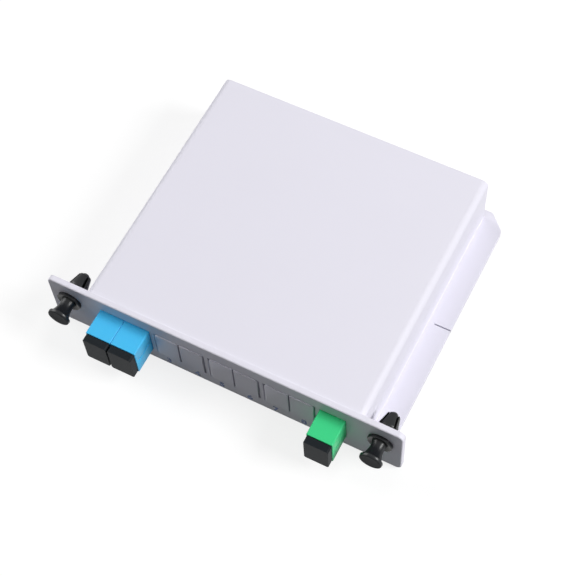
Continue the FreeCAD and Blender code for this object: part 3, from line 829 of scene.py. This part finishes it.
def blank_row_tree() -> Grower:
    """A tree that sets a pair of mirrored blanks in each bay of a row.

    Returns:
        The tree. The piece's mesh is the right-hand blank of the first bay.
    """
    tree = Grower("Row of blank pairs", {
        "Bays": "NodeSocketInt", "Bay step": "NodeSocketFloat", "Pair middle": "NodeSocketFloat"})
    back = tree.add("ShaderNodeVectorMath", operation="SCALE", Scale=2.0)
    tree.link(tree.along("X", tree.size("Pair middle")), back.inputs[0])
    mirror = tree.add("GeometryNodeTransform", Scale=(-1.0, 1.0, 1.0))
    tree.link(tree.size("Geometry"), mirror.inputs["Geometry"])
    tree.link(back.outputs[0], mirror.inputs["Translation"])
    outward = tree.add("GeometryNodeFlipFaces")
    tree.link(mirror.outputs[0], outward.inputs["Mesh"])
    pair = tree.add("GeometryNodeJoinGeometry")
    for half in (tree.size("Geometry"), outward.outputs[0]):
        tree.link(half, pair.inputs[0])
    row = tree.row(tree.size("Bays"), step=tree.along("X", tree.size("Bay step")))
    tree.close(tree.set_out(row, pair.outputs[0]))
    return tree


def screw_tree() -> Grower:
    """A tree that sets screws in two pairs, each turned by chance.

    Returns:
        The tree. The piece's mesh is one screw, upright at the origin.
    """
    tree = Grower("Screws in two pairs", {
        "Front half": "NodeSocketFloat", "Front place": "NodeSocketFloat",
        "Rear half": "NodeSocketFloat", "Rear place": "NodeSocketFloat", "Seed": "NodeSocketInt"})
    both = tree.add("GeometryNodeJoinGeometry")
    for end in ("Front", "Rear"):
        minus = tree.add("ShaderNodeMath", operation="MULTIPLY")
        minus.inputs[1].default_value = -1.0
        tree.link(tree.size(f"{end} half"), minus.inputs[0])
        pair = tree.add("GeometryNodeMeshLine", mode="END_POINTS", Count=2)
        for half, label in ((minus.outputs[0], "Start Location"),
                            (tree.size(f"{end} half"), "Offset")):
            corner = tree.add("ShaderNodeCombineXYZ")
            tree.link(half, corner.inputs["X"])
            tree.link(tree.size(f"{end} place"), corner.inputs["Y"])
            tree.link(corner.outputs[0], pair.inputs[label])
        tree.link(pair.outputs[0], both.inputs[0])
    chance = tree.add("FunctionNodeRandomValue", data_type="FLOAT_VECTOR")
    least, most = (socket for socket in chance.inputs if socket.type == "VECTOR")
    least.default_value, most.default_value = (0.0, 0.0, 0.0), (0.0, 0.0, math.pi / 2)
    tree.link(tree.size("Seed"), chance.inputs["Seed"])
    turned = next(socket for socket in chance.outputs if socket.type == "VECTOR")
    tree.close(tree.set_out(both.outputs[0], tree.size("Geometry"), turned))
    return tree


def prong_tree() -> Grower:
    """A tree that sets equal prongs round an axis along Y.

    Returns:
        The tree. The piece's mesh is one prong about the Y axis.
    """
    tree = Grower("Ring of prongs", {
        "Prongs": "NodeSocketInt", "First turn": "NodeSocketFloat", "Axis": "NodeSocketVector"})
    share = tree.add("ShaderNodeMath", operation="DIVIDE")
    share.inputs[0].default_value = math.tau
    tree.link(tree.size("Prongs"), share.inputs[1])
    which = tree.add("GeometryNodeInputIndex")
    turn = tree.add("ShaderNodeMath", operation="MULTIPLY_ADD")
    for place, value in enumerate((which.outputs[0], share.outputs[0], tree.size("First turn"))):
        tree.link(value, turn.inputs[place])
    row = tree.row(tree.size("Prongs"), first=tree.size("Axis"))
    tree.close(tree.set_out(row, tree.size("Geometry"), tree.along("Y", turn.outputs[0])))
    return tree


def rib_tree() -> Grower:
    """A tree that leaves a sleeve as it is and sets ribs along it.

    Returns:
        The tree. The piece's mesh is the smooth sleeve.
    """
    tree = Grower("Sleeve with ribs", {
        "Ribs": "NodeSocketInt", "Rib step": "NodeSocketFloat", "First rib": "NodeSocketVector",
        "Rib radius": "NodeSocketFloat", "Rib roundness": "NodeSocketFloat"})
    rib = tree.add("GeometryNodeCurveToMesh")
    for label, size, steps in (("Curve", "Rib radius", 28), ("Profile Curve", "Rib roundness", 8)):
        circle = tree.add("GeometryNodeCurvePrimitiveCircle", mode="RADIUS", Resolution=steps)
        tree.link(tree.size(size), circle.inputs["Radius"])
        tree.link(circle.outputs[0], rib.inputs[label])
    upright = tree.add("GeometryNodeTransform", Rotation=(math.pi / 2, 0.0, 0.0))
    tree.link(rib.outputs[0], upright.inputs["Geometry"])
    row = tree.row(tree.size("Ribs"), tree.size("First rib"), tree.along("Y", tree.size("Rib step")))
    both = tree.add("GeometryNodeJoinGeometry")
    for part in (tree.size("Geometry"), tree.set_out(row, upright.outputs[0])):
        tree.link(part, both.inputs[0])
    tree.close(both.outputs[0])
    return tree


# ---------------------------------------------------------------- sub-assemblies


@dataclass
class Case:
    """The moulded case with its panel and rails, and the cover on its underside.

    Attributes:
        edge: rounding of its edges in millimetres.
        wall: outer face of a side wall, from the middle.
        rail: top of a rail above the underside.
        root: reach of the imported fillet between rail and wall.
        tight: share of that fillet that is left.
    """

    edge: float = 0.16
    wall: float = 50.9
    rail: float = 2.0
    root: float = 1.8
    tight: float = 0.02

    def build(self, frame: dict) -> None:
        """Make the shell and the cover.
        """
        shell = solid_copy("case_body", "case_shell", frame)
        self.draw_in_roots(shell)
        put_on(soften(shell, self.edge), Slot.CASE, CASE_BODY, "case_body")
        cover = soften(solid_copy("base_cover", "case_cover", frame), self.edge)
        put_on(cover, Slot.CASE, CASE_BODY, "base_cover")

    def draw_in_roots(self, shell: bpy.types.Object) -> None:
        """Tighten the fillets between the rails and the side walls, so that they hardly show.

        Args:
            shell: the case's copy.
        """
        reach = self.root + NEAR
        for vert in shell.data.vertices:
            out, rise = abs(vert.co.x) / MM - self.wall, vert.co.z / MM - self.rail
            if -NEAR < out < reach and -NEAR < rise < reach:
                vert.co.x = math.copysign((self.wall + out * self.tight) * MM, vert.co.x)
                vert.co.z = (self.rail + rise * self.tight) * MM


@dataclass
class Blanks:
    """The six closing pieces of the unused ports, in mirrored pairs.

    Attributes:
        slit: half of the slit between the two of a pair, in millimetres.
        side: gap at the outer side.
        roof: gap above and below.
        plate: thickness of the face.
        wall: thickness of the walls behind it.
        corner: radius of the outer corners.
        edge: rounding of the face's edges.
        lip: height of the stop above and below.
        lap: how far the stop runs into the wall.
        ends: the stop's distance from the blank's inner and outer side.
        play: gap between the stop and the panel's back.
        panel: thickness of the panel.
    """

    slit: float = 0.26
    side: float = 0.3
    roof: float = 0.03
    plate: float = 1.2
    wall: float = 1.2
    corner: float = 1.1
    edge: float = 0.16
    lip: float = 0.95
    lap: float = 0.2
    ends: Point = (0.3, 1.2)
    play: float = 0.02
    panel: float = 2.1

    def build(self) -> None:
        """Make the row of pairs."""
        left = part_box("port_blank_3")
        low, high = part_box("port_blank_4")
        panel_back = panel_front() + self.panel * MM
        pair_middle = (left[1].x + low.x) / 2
        bay_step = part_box("port_blank_6")[0].x - low.x
        foot, head = low.z + (self.lip + self.roof) * MM, high.z - (self.lip + self.roof) * MM
        inner, outer = pair_middle + self.slit * MM, high.x - self.side * MM
        wall, lap, play = self.wall * MM, self.lap * MM, self.play * MM
        row = block("blank_row", (inner, low.y, foot), (outer, high.y, head),
                    lambda e: runs(e, 1) and middle(e).x > outer - NEAR * MM, self.corner, 5)
        shape(row, block("hollow", (inner + wall, low.y + self.plate * MM, foot + wall),
                         (outer - wall, high.y + MM, head - wall)))
        bm = bmesh.new()
        bm.from_mesh(row.data)
        for base, top in ((low.z, foot + lap), (head - lap, high.z)):
            add_block(bm, (inner + self.ends[0] * MM, panel_back + play, base),
                      (outer - self.ends[1] * MM, high.y - play, top))
        bm.to_mesh(row.data)
        bm.free()
        soften(row, self.edge, angle=40.0)
        blank_row_tree().grow(row, Slot.CASE, Bays=3, Bay_step=bay_step, Pair_middle=pair_middle)
        put_on(row, Slot.CASE, CASE_BODY, *(f"port_blank_{port}" for port in UNUSED_PORTS))


@dataclass
class Screws:
    """The four screws that hold the cover, with cross recesses in their heads.

    Attributes:
        head: radius of the head in millimetres.
        rise: thickness of the head.
        shank: radius of the shank.
        core: radius at the thread's root, as a share of the shank's.
        recess: length and width of the cross.
        depth: depth of the cross.
        pitch: step of the thread.
        plain: smooth stretch of the shank behind the head.
        point: length of the point that carries no thread.
        front_half: the front pair's distance from the middle.
        divisions: divisions of the circle.
        seed: seed of the screws' turns.
    """

    head: float = 2.0
    rise: float = 1.3
    shank: float = 1.1
    core: float = 0.78
    recess: Point = (2.3, 0.55)
    depth: float = 0.8
    pitch: float = 0.7
    plain: float = 0.3
    point: float = 0.6
    front_half: float = 22.0
    divisions: int = 32
    seed: int = 5

    def build(self) -> None:
        """Make the screws."""
        low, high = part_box("cover_screws")
        length = (high.z - low.z) / MM
        profile: list[Point] = [(0.0, 0.0), (self.head * 0.75, 0.0), (self.head * 0.95, 0.2),
                                (self.head, 0.5), (self.head, self.rise), (self.shank, self.rise)]
        along = self.rise + self.plain
        while along + self.pitch < length - self.point:
            profile += [(self.shank * self.core, along), (self.shank, along + self.pitch / 2)]
            along += self.pitch
        profile += [(self.shank * self.core, along), (0.0, length)]
        screw = lathe("cover_screw_row", profile, Vector((0.0, 0.0, 0.0)), self.divisions)
        half, thin = self.recess[0] / 2 * MM, self.recess[1] / 2 * MM
        for turn in (0.0, math.pi / 2):
            bar = block("bar", (-half, -MM, -thin), (half, self.depth * MM, thin))
            bar.data.transform(Matrix.Rotation(turn, 4, "Y"))
            shape(screw, bar)
        screw.data.transform(Matrix.Rotation(math.pi / 2, 4, "X"))
        screw.data.transform(Matrix.Translation((0.0, 0.0, low.z)))
        smooth_by_angle(screw, angle=40.0)
        reach = (high.x - low.x) / 2 / MM - self.head
        screw_tree().grow(screw, Slot.SCREW, Front_half=self.front_half * MM, Rear_half=reach * MM,
                          Front_place=low.y + self.head * MM, Rear_place=high.y - self.head * MM,
                          Seed=self.seed)
        put_on(screw, Slot.SCREW, CASE_BODY, "cover_screws")


@dataclass
class Numbers:
    """Port numbers printed on the panel under the blanks.

    Attributes:
        height: height of a figure in millimetres.
        share: height of a figure as a share of the type's size.
        foot: bottom of the figures above the underside.
        ink: thickness of the print.
        bold: how far the strokes are widened.
        nudges: how far each figure stands from the middle of its blank.
    """

    height: float = 2.8
    share: float = 0.7
    foot: float = 1.3
    ink: float = 0.03
    bold: float = 0.16
    nudges: tuple[float, ...] = (-0.5, 1.0, -0.6, 0.55, -0.8, 0.35)

    def build(self) -> None:
        """Print one figure for each blank."""
        for port, nudge in zip(UNUSED_PORTS, self.nudges):
            low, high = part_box(f"port_blank_{port}")
            text = bpy.data.curves.new(f"figure_{port}", "FONT")
            text.body = str(port)
            text.size = self.height * MM / self.share
            text.align_x = "CENTER"
            text.extrude = self.ink * MM
            text.offset = self.bold * MM
            text.resolution_u = 4
            obj = bpy.data.objects.new(f"number_{port}", text)
            bpy.context.scene.collection.objects.link(obj)
            bpy.context.view_layer.update()
            evaluated = obj.evaluated_get(bpy.context.evaluated_depsgraph_get())
            mesh = bpy.data.meshes.new_from_object(evaluated)
            bpy.data.objects.remove(obj)
            place = Vector(((low.x + high.x) / 2 + nudge * MM, panel_front(), self.foot * MM))
            mesh.transform(Matrix.Translation(place) @ Matrix.Rotation(math.pi / 2, 4, "X"))
            number = bpy.data.objects.new(f"number_{port}", mesh)
            bpy.context.scene.collection.objects.link(number)
            put_on(number, Slot.CASE, CASE_BODY, finish=INK)


@dataclass
class Adapter:
    """The two halves of a port's adapter with its inner sleeve and holders.

    Attributes:
        port: the port.
        edge: rounding of the shell's edges in millimetres.
        fine: rounding of the holders' edges.
        groove: height and depth of the line along the shell's sides.
        ends: the line's distance from the mouth and from the panel.
    """

    port: Port
    edge: float = 0.2
    fine: float = 0.08
    groove: Point = (0.5, 0.36)
    ends: Point = (0.9, 1.1)

    def build(self, frame: dict) -> None:
        """Make the shells, the holders and the split sleeve.
        """
        stem = self.port.stem
        for half in ("front", "rear"):
            node = f"{stem}_adapter_{half}"
            shell = soften(solid_copy(node, f"{stem}_shell_{half}", frame), self.edge)
            if half == "front":
                self.cut_grooves(shell, node)
            put_on(shell, self.port.shell, CASE_BODY, node)
            node = f"{stem}_sleeve_holder_{half}"
            holder = solid_copy(node, f"{stem}_holder_{half}", frame)
            put_on(soften(holder, self.fine, 1, 50.0), Slot.HOLDER, CASE_BODY, node)
        node = f"{stem}_split_sleeve"
        sleeve = mesh_object(f"{stem}_sleeve", merged_copy(node, frame))
        put_on(smooth_by_angle(sleeve), Slot.CERAMIC, CASE_BODY, node)

    def cut_grooves(self, shell: bpy.types.Object, node: str) -> None:
        """Cut the line along both sides of the front shell, short of the mouth and the panel.

        Args:
            shell: the shell's copy.
            node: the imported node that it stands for.
        """
        low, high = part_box(node)
        near, far = low.y + self.ends[0] * MM, panel_front() - self.ends[1] * MM
        half, depth = self.groove[0] / 2 * MM, self.groove[1] * MM
        height = (low.z + high.z) / 2
        for side in (low.x, high.x):
            shape(shell, block("groove", (side - depth, near, height - half),
                               (side + depth, far, height + half)))


@dataclass
class DustCap:
    """A port's dust cap: a face block with bevelled sides and a hollow plug behind it.

    Attributes:
        port: the port.
        face: thickness of the face block in millimetres.
        corner: bevel of the edges that run front to back.
        edge: rounding of the rest.
        plug: width and height of the plug.
        wall: wall of the plug.
        bottom: the hollow's bottom behind the face block.
        sunk: how far the plug runs into the face block, and the rounding of its own edges.
    """

    port: Port
    face: float = 2.6
    corner: float = 0.5
    edge: float = 0.14
    plug: Point = (7.2, 8.7)
    wall: float = 0.8
    bottom: float = 0.4
    sunk: float = 0.3

    def build(self) -> None:
        """Make the cap."""
        node = f"{self.port.stem}_dust_cap"
        low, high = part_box(node)
        centre = (low + high) / 2
        back = low.y + self.face * MM
        cap = block(f"{self.port.stem}_cap", low, (high.x, back, high.z),
                    lambda e: runs(e, 1), self.corner, 1)
        soften(cap, self.edge, angle=25.0)
        half_x, half_z = self.plug[0] / 2 * MM, self.plug[1] / 2 * MM
        plug = block("plug", (centre.x - half_x, back - self.sunk * MM, centre.z - half_z),
                     (centre.x + half_x, high.y, centre.z + half_z),
                     lambda e: runs(e, 1) or middle(e).y > high.y - NEAR * MM, self.sunk, 2)
        half_x, half_z = half_x - self.wall * MM, half_z - self.wall * MM
        shape(plug, block("hollow", (centre.x - half_x, back + self.bottom * MM, centre.z - half_z),
                          (centre.x + half_x, high.y + MM, centre.z + half_z)))
        shape(cap, plug, Shaping.WELD)
        put_on(smooth_by_angle(cap, angle=30.0), Slot.CAP, f"{self.port.stem}_cap", node)


@dataclass
class Latch:
    """A push-pull latch: a split grommet in the panel and the plunger that spreads it.

    Attributes:
        side: left or right.
        bore: radius of the grommet's bore in millimetres.
        neck: radius of the grommet where it passes the panel.
        neck_end: end of that neck behind the panel's front face.
        barrel: radius of the barrel and the prongs behind the panel.
        barrel_end: end of the unsplit barrel.
        shoulder: end of the prongs' straight part.
        slot: width of the slots between the prongs.
        turn: turn of the prongs about the latch's axis, in degrees.
        waist: radius of the plunger's waist.
        rim: thickness of the head's rim.
        sweep: power of the curve from the head to the waist.
        flare: how much the waist opens towards the disc.
        flare_from: share of the waist's length where that begins.
        seat: end of the waist behind the disc's front.
        shaft: radius of the plunger's shaft.
        edge: rounding of the prongs' edges.
        divisions: divisions of the circle.
    """

    side: str
    bore: float = 1.75
    neck: float = 3.1
    neck_end: float = 2.15
    barrel: float = 3.45
    barrel_end: float = 3.1
    shoulder: float = 5.1
    slot: float = 0.9
    turn: float = 0.0
    waist: float = 2.25
    rim: float = 1.35
    sweep: float = 2.6
    flare: float = 0.45
    flare_from: float = 0.45
    seat: float = 0.45
    shaft: float = 1.7
    edge: float = 0.07
    divisions: int = 56

    def build(self) -> None:
        """Make the grommet and the plunger."""
        self.build_grommet()
        self.build_plunger()

    def axis(self, node: str) -> Vector:
        """The latch's axis where it passes the panel's front face."""
        middle_point = front_middle(node)
        return Vector((middle_point.x, panel_front(), middle_point.z))

    def build_grommet(self) -> None:
        """Make the dished disc, the neck and the ring of prongs."""
        node = f"latch_{self.side}_grommet"
        axis = self.axis(node)
        low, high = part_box(node)
        tip = (high.y - axis.y) / MM
        disc, face = (high.x - low.x) / 2 / MM, (low.y - axis.y) / MM
        bore, neck, barrel = self.bore, self.neck, self.barrel
        base = lathe(f"latch_{self.side}_socket", [
            (bore, face + 0.5), (2.65, face + 0.5), (disc - 1.1, face + 0.28),
            (disc - 0.62, face + 0.06), (disc - 0.4, face), (disc - 0.14, face + 0.05),
            (disc, face + 0.25), (disc, -0.1), (disc - 0.1, 0.0), (neck, 0.0),
            (neck, self.neck_end), (barrel - 0.07, self.neck_end), (barrel, self.neck_end + 0.1),
            (barrel, self.barrel_end), (bore, self.barrel_end)], axis, self.divisions)
        start = self.barrel_end - 0.1
        prong = self.prong([
            (bore, start), (barrel, start), (barrel, self.shoulder),
            (barrel - 0.05, self.shoulder + 0.4), (2.3, tip - 0.25), (2.1, tip), (bore, tip),
        ], "prongs")
        soften(prong, self.edge, 1, 50.0)
        prong_tree().grow(prong, Slot.LATCH, Prongs=PRONGS, First_turn=math.radians(self.turn),
                          Axis=tuple(axis))
        self.merge(base, prong)
        put_on(smooth_by_angle(base, angle=32.0), Slot.LATCH, CASE_BODY, node, finish=GROMMET)

    def prong(self, profile: Sequence[Point], name: str) -> bpy.types.Object:
        """Sweep a profile between the walls of two slots, about the Y axis.

        Args:
            profile: points (radius, distance along Y) in millimetres, in a closed ring.
            name: name of the object.

        Returns:
            One prong, whose slot walls are flat.
        """
        bm = bmesh.new()
        steps = 10
        rows = []
        for step in range(steps + 1):
            row = []
            for radius, along in profile:
                half = math.pi / PRONGS - math.asin(self.slot / 2 / radius)
                turn = half * (2.0 * step / steps - 1.0)
                row.append(bm.verts.new(
                    MM * Vector((radius * math.sin(turn), along, radius * math.cos(turn)))))
            rows.append(row)
        count = len(profile)
        for one, two in zip(rows, rows[1:]):
            for index in range(count):
                after = (index + 1) % count
                bm.faces.new((one[index], one[after], two[after], two[index]))
        bm.faces.new(rows[0])
        bm.faces.new(rows[-1])
        bmesh.ops.recalc_face_normals(bm, faces=bm.faces)
        return mesh_object(name, bm)

    def merge(self, kept: bpy.types.Object, other: bpy.types.Object) -> None:
        """Add one piece's mesh to another and remove the piece.

        Args:
            kept: the piece that gets the mesh.
            other: the piece that is removed.
        """
        bm = bmesh.new()
        bm.from_mesh(kept.data)
        bm.from_mesh(other.data)
        for face in bm.faces:
            face.material_index = 0
        bm.to_mesh(kept.data)
        bm.free()
        bpy.data.meshes.remove(other.data)

    def build_plunger(self) -> None:
        """Make the waisted knob and its shaft."""
        node = f"latch_{self.side}_plunger"
        axis = self.axis(node)
        low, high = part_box(node)
        face, tip = (low.y - axis.y) / MM, (high.y - axis.y) / MM
        head = (high.x - low.x) / 2 / MM
        foot = (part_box(f"latch_{self.side}_grommet")[0].y - axis.y) / MM + self.seat
        rim = face + self.rim
        profile: list[Point] = [
            (0.0, face + 0.12), (head * 0.55, face + 0.1), (head - 0.75, face + 0.02),
            (head - 0.5, face), (head - 0.25, face + 0.08), (head - 0.11, face + 0.26),
            (head, face + 1.0), (head - 0.06, rim - 0.16), (head - 0.3, rim - 0.02)]
        steps = 14
        for step in range(steps + 1):
            share = step / steps
            radius = self.waist + (head - 0.6 - self.waist) * (1.0 - share) ** self.sweep
            opened = (share - self.flare_from) / (1.0 - self.flare_from)
            radius += self.flare * max(0.0, opened) ** 2
            profile.append((radius, rim + (foot - rim) * share))
        profile += [(self.shaft, foot), (self.shaft, tip - 2.4), (1.5, tip - 0.9),
                    (1.2, tip - 0.25), (0.9, tip), (0.0, tip)]
        knob = lathe(f"latch_{self.side}_knob", profile, axis, self.divisions)
        put_on(smooth_by_angle(knob, angle=40.0), Slot.LATCH, f"latch_{self.side}", node)


@dataclass
class Plug:
    """The inner plug of a port and its fibre.

    Attributes:
        port: the port.
        edge: rounding of the housing's edges in millimetres.
        ribs: number of ribs on the boot.
        first_rib: place of the first rib, from the boot's front end.
        plain: length of the boot that carries no ribs.
        rib_sunk: the ribs' middle line under the boot's largest radius.
        rib_round: half thickness of a rib.
    """

    port: Port
    edge: float = 0.3
    ribs: int = 9
    first_rib: float = 2.8
    plain: float = 3.4
    rib_sunk: float = 0.5
    rib_round: float = 0.32

    def build(self, frame: dict) -> None:
        """Make the housing, the ferrule, the boot and the fibre.
        """
        stem = self.port.stem
        housing = solid_copy(f"{stem}_plug_housing", f"{stem}_housing", frame)
        soften(housing, self.edge, angle=50.0)
        put_on(housing, self.port.plug, CASE_BODY, f"{stem}_plug_housing")
        self.build_ferrule(f"{stem}_plug_ferrule")
        self.build_boot(f"{stem}_plug_boot")
        fibre = mesh_object(f"{stem}_fibre", merged_copy(f"{stem}_pigtail", frame))
        put_on(smooth_by_angle(fibre), Slot.FIBRE, CASE_BODY, f"{stem}_pigtail")

    def build_ferrule(self, node: str) -> None:
        """Make the ferrule, with a domed and chamfered tip.

        Args:
            node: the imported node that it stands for.
        """
        low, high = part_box(node)
        radius, length = (high.x - low.x) / 2 / MM, (high.y - low.y) / MM
        ferrule = lathe(f"{self.port.stem}_ferrule", [
            (0.0, 0.0), (0.5, 0.02), (0.9, 0.08), (radius, 0.7), (radius, length - 0.2),
            (radius - 0.2, length), (0.0, length)], front_middle(node), steps=32)
        put_on(smooth_by_angle(ferrule), Slot.CERAMIC, CASE_BODY, node)

    def build_boot(self, node: str) -> None:
        """Make the tapered boot with its ribs.

        Args:
            node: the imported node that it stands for.
        """
        low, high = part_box(node)
        radius, length = (high.x - low.x) / 2 / MM, (high.y - low.y) / MM
        axis = front_middle(node)
        boot = lathe(f"{self.port.stem}_boot", [
            (0.0, 0.0), (radius, 0.0), (radius, 1.6), (radius - 0.4, 1.9),
            (radius - 0.75, length - 0.3), (radius - 0.9, length), (0.0, length)], axis, steps=28)
        rib_tree().grow(boot, Slot.BOOT, Ribs=self.ribs,
                        Rib_step=(length - self.plain) / self.ribs * MM,
                        First_rib=tuple(axis + Vector((0.0, self.first_rib * MM, 0.0))),
                        Rib_radius=(radius - self.rib_sunk) * MM, Rib_roundness=self.rib_round * MM)
        put_on(smooth_by_angle(boot), Slot.BOOT, CASE_BODY, node)


@dataclass
class Chip:
    """The sealed steel tube with the splitter chip.

    Attributes:
        edge: rounding of its edges in millimetres.
        seal: depth of the sealed ends' recess.
        wall: the tube's wall round that recess.
        corner: radius of the recess's corners.
    """

    edge: float = 0.12
    seal: float = 0.35
    wall: float = 0.55
    corner: float = 0.35

    def build(self, frame: dict) -> None:
        """Make the tube with its sunk ends.
        """
        tube = solid_copy("splitter_chip", "chip_tube", frame)
        low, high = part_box("splitter_chip")
        seal, wall = self.seal * MM, self.wall * MM
        for near, far in ((low.x - MM, low.x + seal), (high.x - seal, high.x + MM)):
            shape(tube, block("recess", (near, low.y + wall, low.z + wall),
                              (far, high.y - wall, high.z - wall),
                              lambda e: runs(e, 0), self.corner, 2))
        put_on(soften(tube, self.edge, angle=30.0), Slot.CHIP, CASE_BODY, "splitter_chip")


def dress_solids(frame: dict) -> None:
    """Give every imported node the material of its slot.
    """
    for row in frame["record"]["subparts"]:
        dress(frame["nodes"][row["node"]], FINISHES[Slot(row["material_slot"])].build())


# ---------------------------------------------------------------- studio


@dataclass(frozen=True)
class Studio:
    """Camera, lamps, world and floor.

    Attributes:
        eye: the camera's place in metres.
        ahead: the way it looks.
        upward: its upward direction.
        lens: focal length in millimetres.
        sensor: width of the sensor in millimetres.
        nearest: nearest distance that the camera shows, in metres.
        lamps: name, place in metres, width and height in metres, and power of each softbox.
        ambient: strength of the world's light.
        bounce: colour of the floor for the light it throws back.
        pale: grey of the floor's lit part as it is seen.
        lift: the white that is added to it.
        reach: half of the floor's side in metres.
        sunk: the floor's depth under the part in millimetres.
    """

    eye: Triple = (0.127976, -0.214333, 0.440723)
    ahead: Triple = (-0.251036, 0.414075, -0.874942)
    upward: Triple = (-0.385335, 0.786431, 0.482746)
    lens: float = 90.914
    sensor: float = 36.0
    nearest: float = 0.01
    lamps: tuple[tuple[str, Triple, Point, float], ...] = (
        ("overhead softbox", (0.0, 0.35, 1.3), (1.8, 0.9), 1.0),
        ("right softbox", (1.09, 0.2, 0.84), (0.6, 0.5), 18.8),
        ("left softbox", (-1.2, 0.1, 0.69), (1.0, 0.9), 12.6),
    )
    ambient: float = 0.085
    bounce: Triple = (0.149, 0.156, 0.172)
    pale: float = 0.25
    lift: float = 0.8
    reach: float = 3.0
    sunk: float = 0.02

    def build(self) -> None:
        """Set up the studio."""
        self.make_camera()
        self.make_world()
        self.make_lamps()
        self.make_floor()
        bpy.context.scene.view_settings.view_transform = "Standard"

    def make_camera(self) -> None:
        """Make the camera."""
        camera = bpy.data.cameras.new("camera")
        camera.lens = self.lens
        camera.sensor_width = self.sensor
        camera.clip_start = self.nearest
        obj = bpy.data.objects.new("camera", camera)
        back = -Vector(self.ahead).normalized()
        right = Vector(self.upward).cross(back).normalized()
        turn = Matrix((right, back.cross(right), back)).transposed().to_4x4()
        obj.matrix_world = Matrix.Translation(self.eye) @ turn
        bpy.context.scene.collection.objects.link(obj)
        bpy.context.scene.camera = obj

    def seen_mix(self, tree: bpy.types.NodeTree, lit: bpy.types.NodeSocket,
                 seen: bpy.types.NodeSocket) -> bpy.types.NodeSocket:
        """Mix two shaders by ray: one lights the part, the other is what shows.

        Args:
            tree: the node tree.
            lit: the shader for the light it throws.
            seen: the shader for camera, mirror and glass rays.

        Returns:
            The mixed shader.
        """
        path = add_node(tree, "ShaderNodeLightPath", (-700.0, 0.0))
        mask = path.outputs["Is Camera Ray"]
        for column, ray in enumerate(("Is Glossy Ray", "Is Transmission Ray")):
            either = add_node(tree, "ShaderNodeMath", (-450.0 + 200.0 * column, 0.0),
                              operation="MAXIMUM")
            tree.links.new(mask, either.inputs[0])
            tree.links.new(path.outputs[ray], either.inputs[1])
            mask = either.outputs[0]
        mix = add_node(tree, "ShaderNodeMixShader", (300.0, 0.0))
        for place, source in enumerate((mask, lit, seen)):
            tree.links.new(source, mix.inputs[place])
        return mix.outputs[0]

    def make_world(self) -> None:
        """Make a white world that lights the part only dimly."""
        world = bpy.data.worlds.new("studio")
        bpy.context.scene.world = world
        world.use_nodes = True
        tree = world.node_tree
        tree.nodes.clear()
        lit, seen = (add_node(tree, "ShaderNodeBackground", (0.0, -200.0 * row), Color=WHITE,
                              Strength=strength).outputs[0]
                     for row, strength in enumerate((self.ambient, 1.0)))
        output = add_node(tree, "ShaderNodeOutputWorld", (500.0, 0.0))
        tree.links.new(self.seen_mix(tree, lit, seen), output.inputs["Surface"])

    def make_lamps(self) -> None:
        """Make the softboxes, each turned to the part."""
        for name, place, (width, height), power in self.lamps:
            lamp = bpy.data.lights.new(name, "AREA")
            lamp.shape = "RECTANGLE"
            lamp.size, lamp.size_y = width, height
            lamp.energy = power
            obj = bpy.data.objects.new(name, lamp)
            away = Vector(place)
            turn = away.to_track_quat("Z", "Y").to_matrix().to_4x4()
            obj.matrix_world = Matrix.Translation(away) @ turn
            bpy.context.scene.collection.objects.link(obj)

    def make_floor(self) -> None:
        """Make the pale floor, white as it is seen and darker in what it throws back."""
        bm = bmesh.new()
        bmesh.ops.create_grid(bm, x_segments=1, y_segments=1, size=self.reach)
        for vert in bm.verts:
            vert.co.z = -self.sunk * MM
        floor = mesh_object("floor", bm)
        material = bpy.data.materials.new("pale floor")
        material.use_nodes = True
        tree = material.node_tree
        tree.nodes.clear()
        thrown = add_node(tree, "ShaderNodeBsdfDiffuse", (0.0, 200.0), Color=(*self.bounce, 1.0))
        pale = add_node(tree, "ShaderNodeBsdfDiffuse", (-100.0, 0.0), Color=(*(self.pale,) * 3, 1.0))
        lift = add_node(tree, "ShaderNodeEmission", (-100.0, -150.0), Color=WHITE, Strength=self.lift)
        both = add_node(tree, "ShaderNodeAddShader", (100.0, -50.0))
        output = add_node(tree, "ShaderNodeOutputMaterial", (500.0, 0.0))
        tree.links.new(pale.outputs[0], both.inputs[0])
        tree.links.new(lift.outputs[0], both.inputs[1])
        tree.links.new(self.seen_mix(tree, thrown.outputs[0], both.outputs[0]),
                       output.inputs["Surface"])
        dress(floor, material)


def corners(bounds: Iterable[Vector]) -> list[list[float]]:
    """Two corners as plain lists."""
    return [[float(value) for value in corner] for corner in bounds]


def main() -> None:
    """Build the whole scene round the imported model."""
    logging.basicConfig(level=logging.INFO, format="%(message)s")
    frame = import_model()
    Studio().build()
    dress_solids(frame)
    Case().build(frame)
    Blanks().build()
    Screws().build()
    Numbers().build()
    for port in Port:
        Adapter(port).build(frame)
        DustCap(port).build()
        Plug(port).build(frame)
    Chip().build(frame)
    for side in ("left", "right"):
        Latch(side).build()


if __name__ == "__main__":
    main()
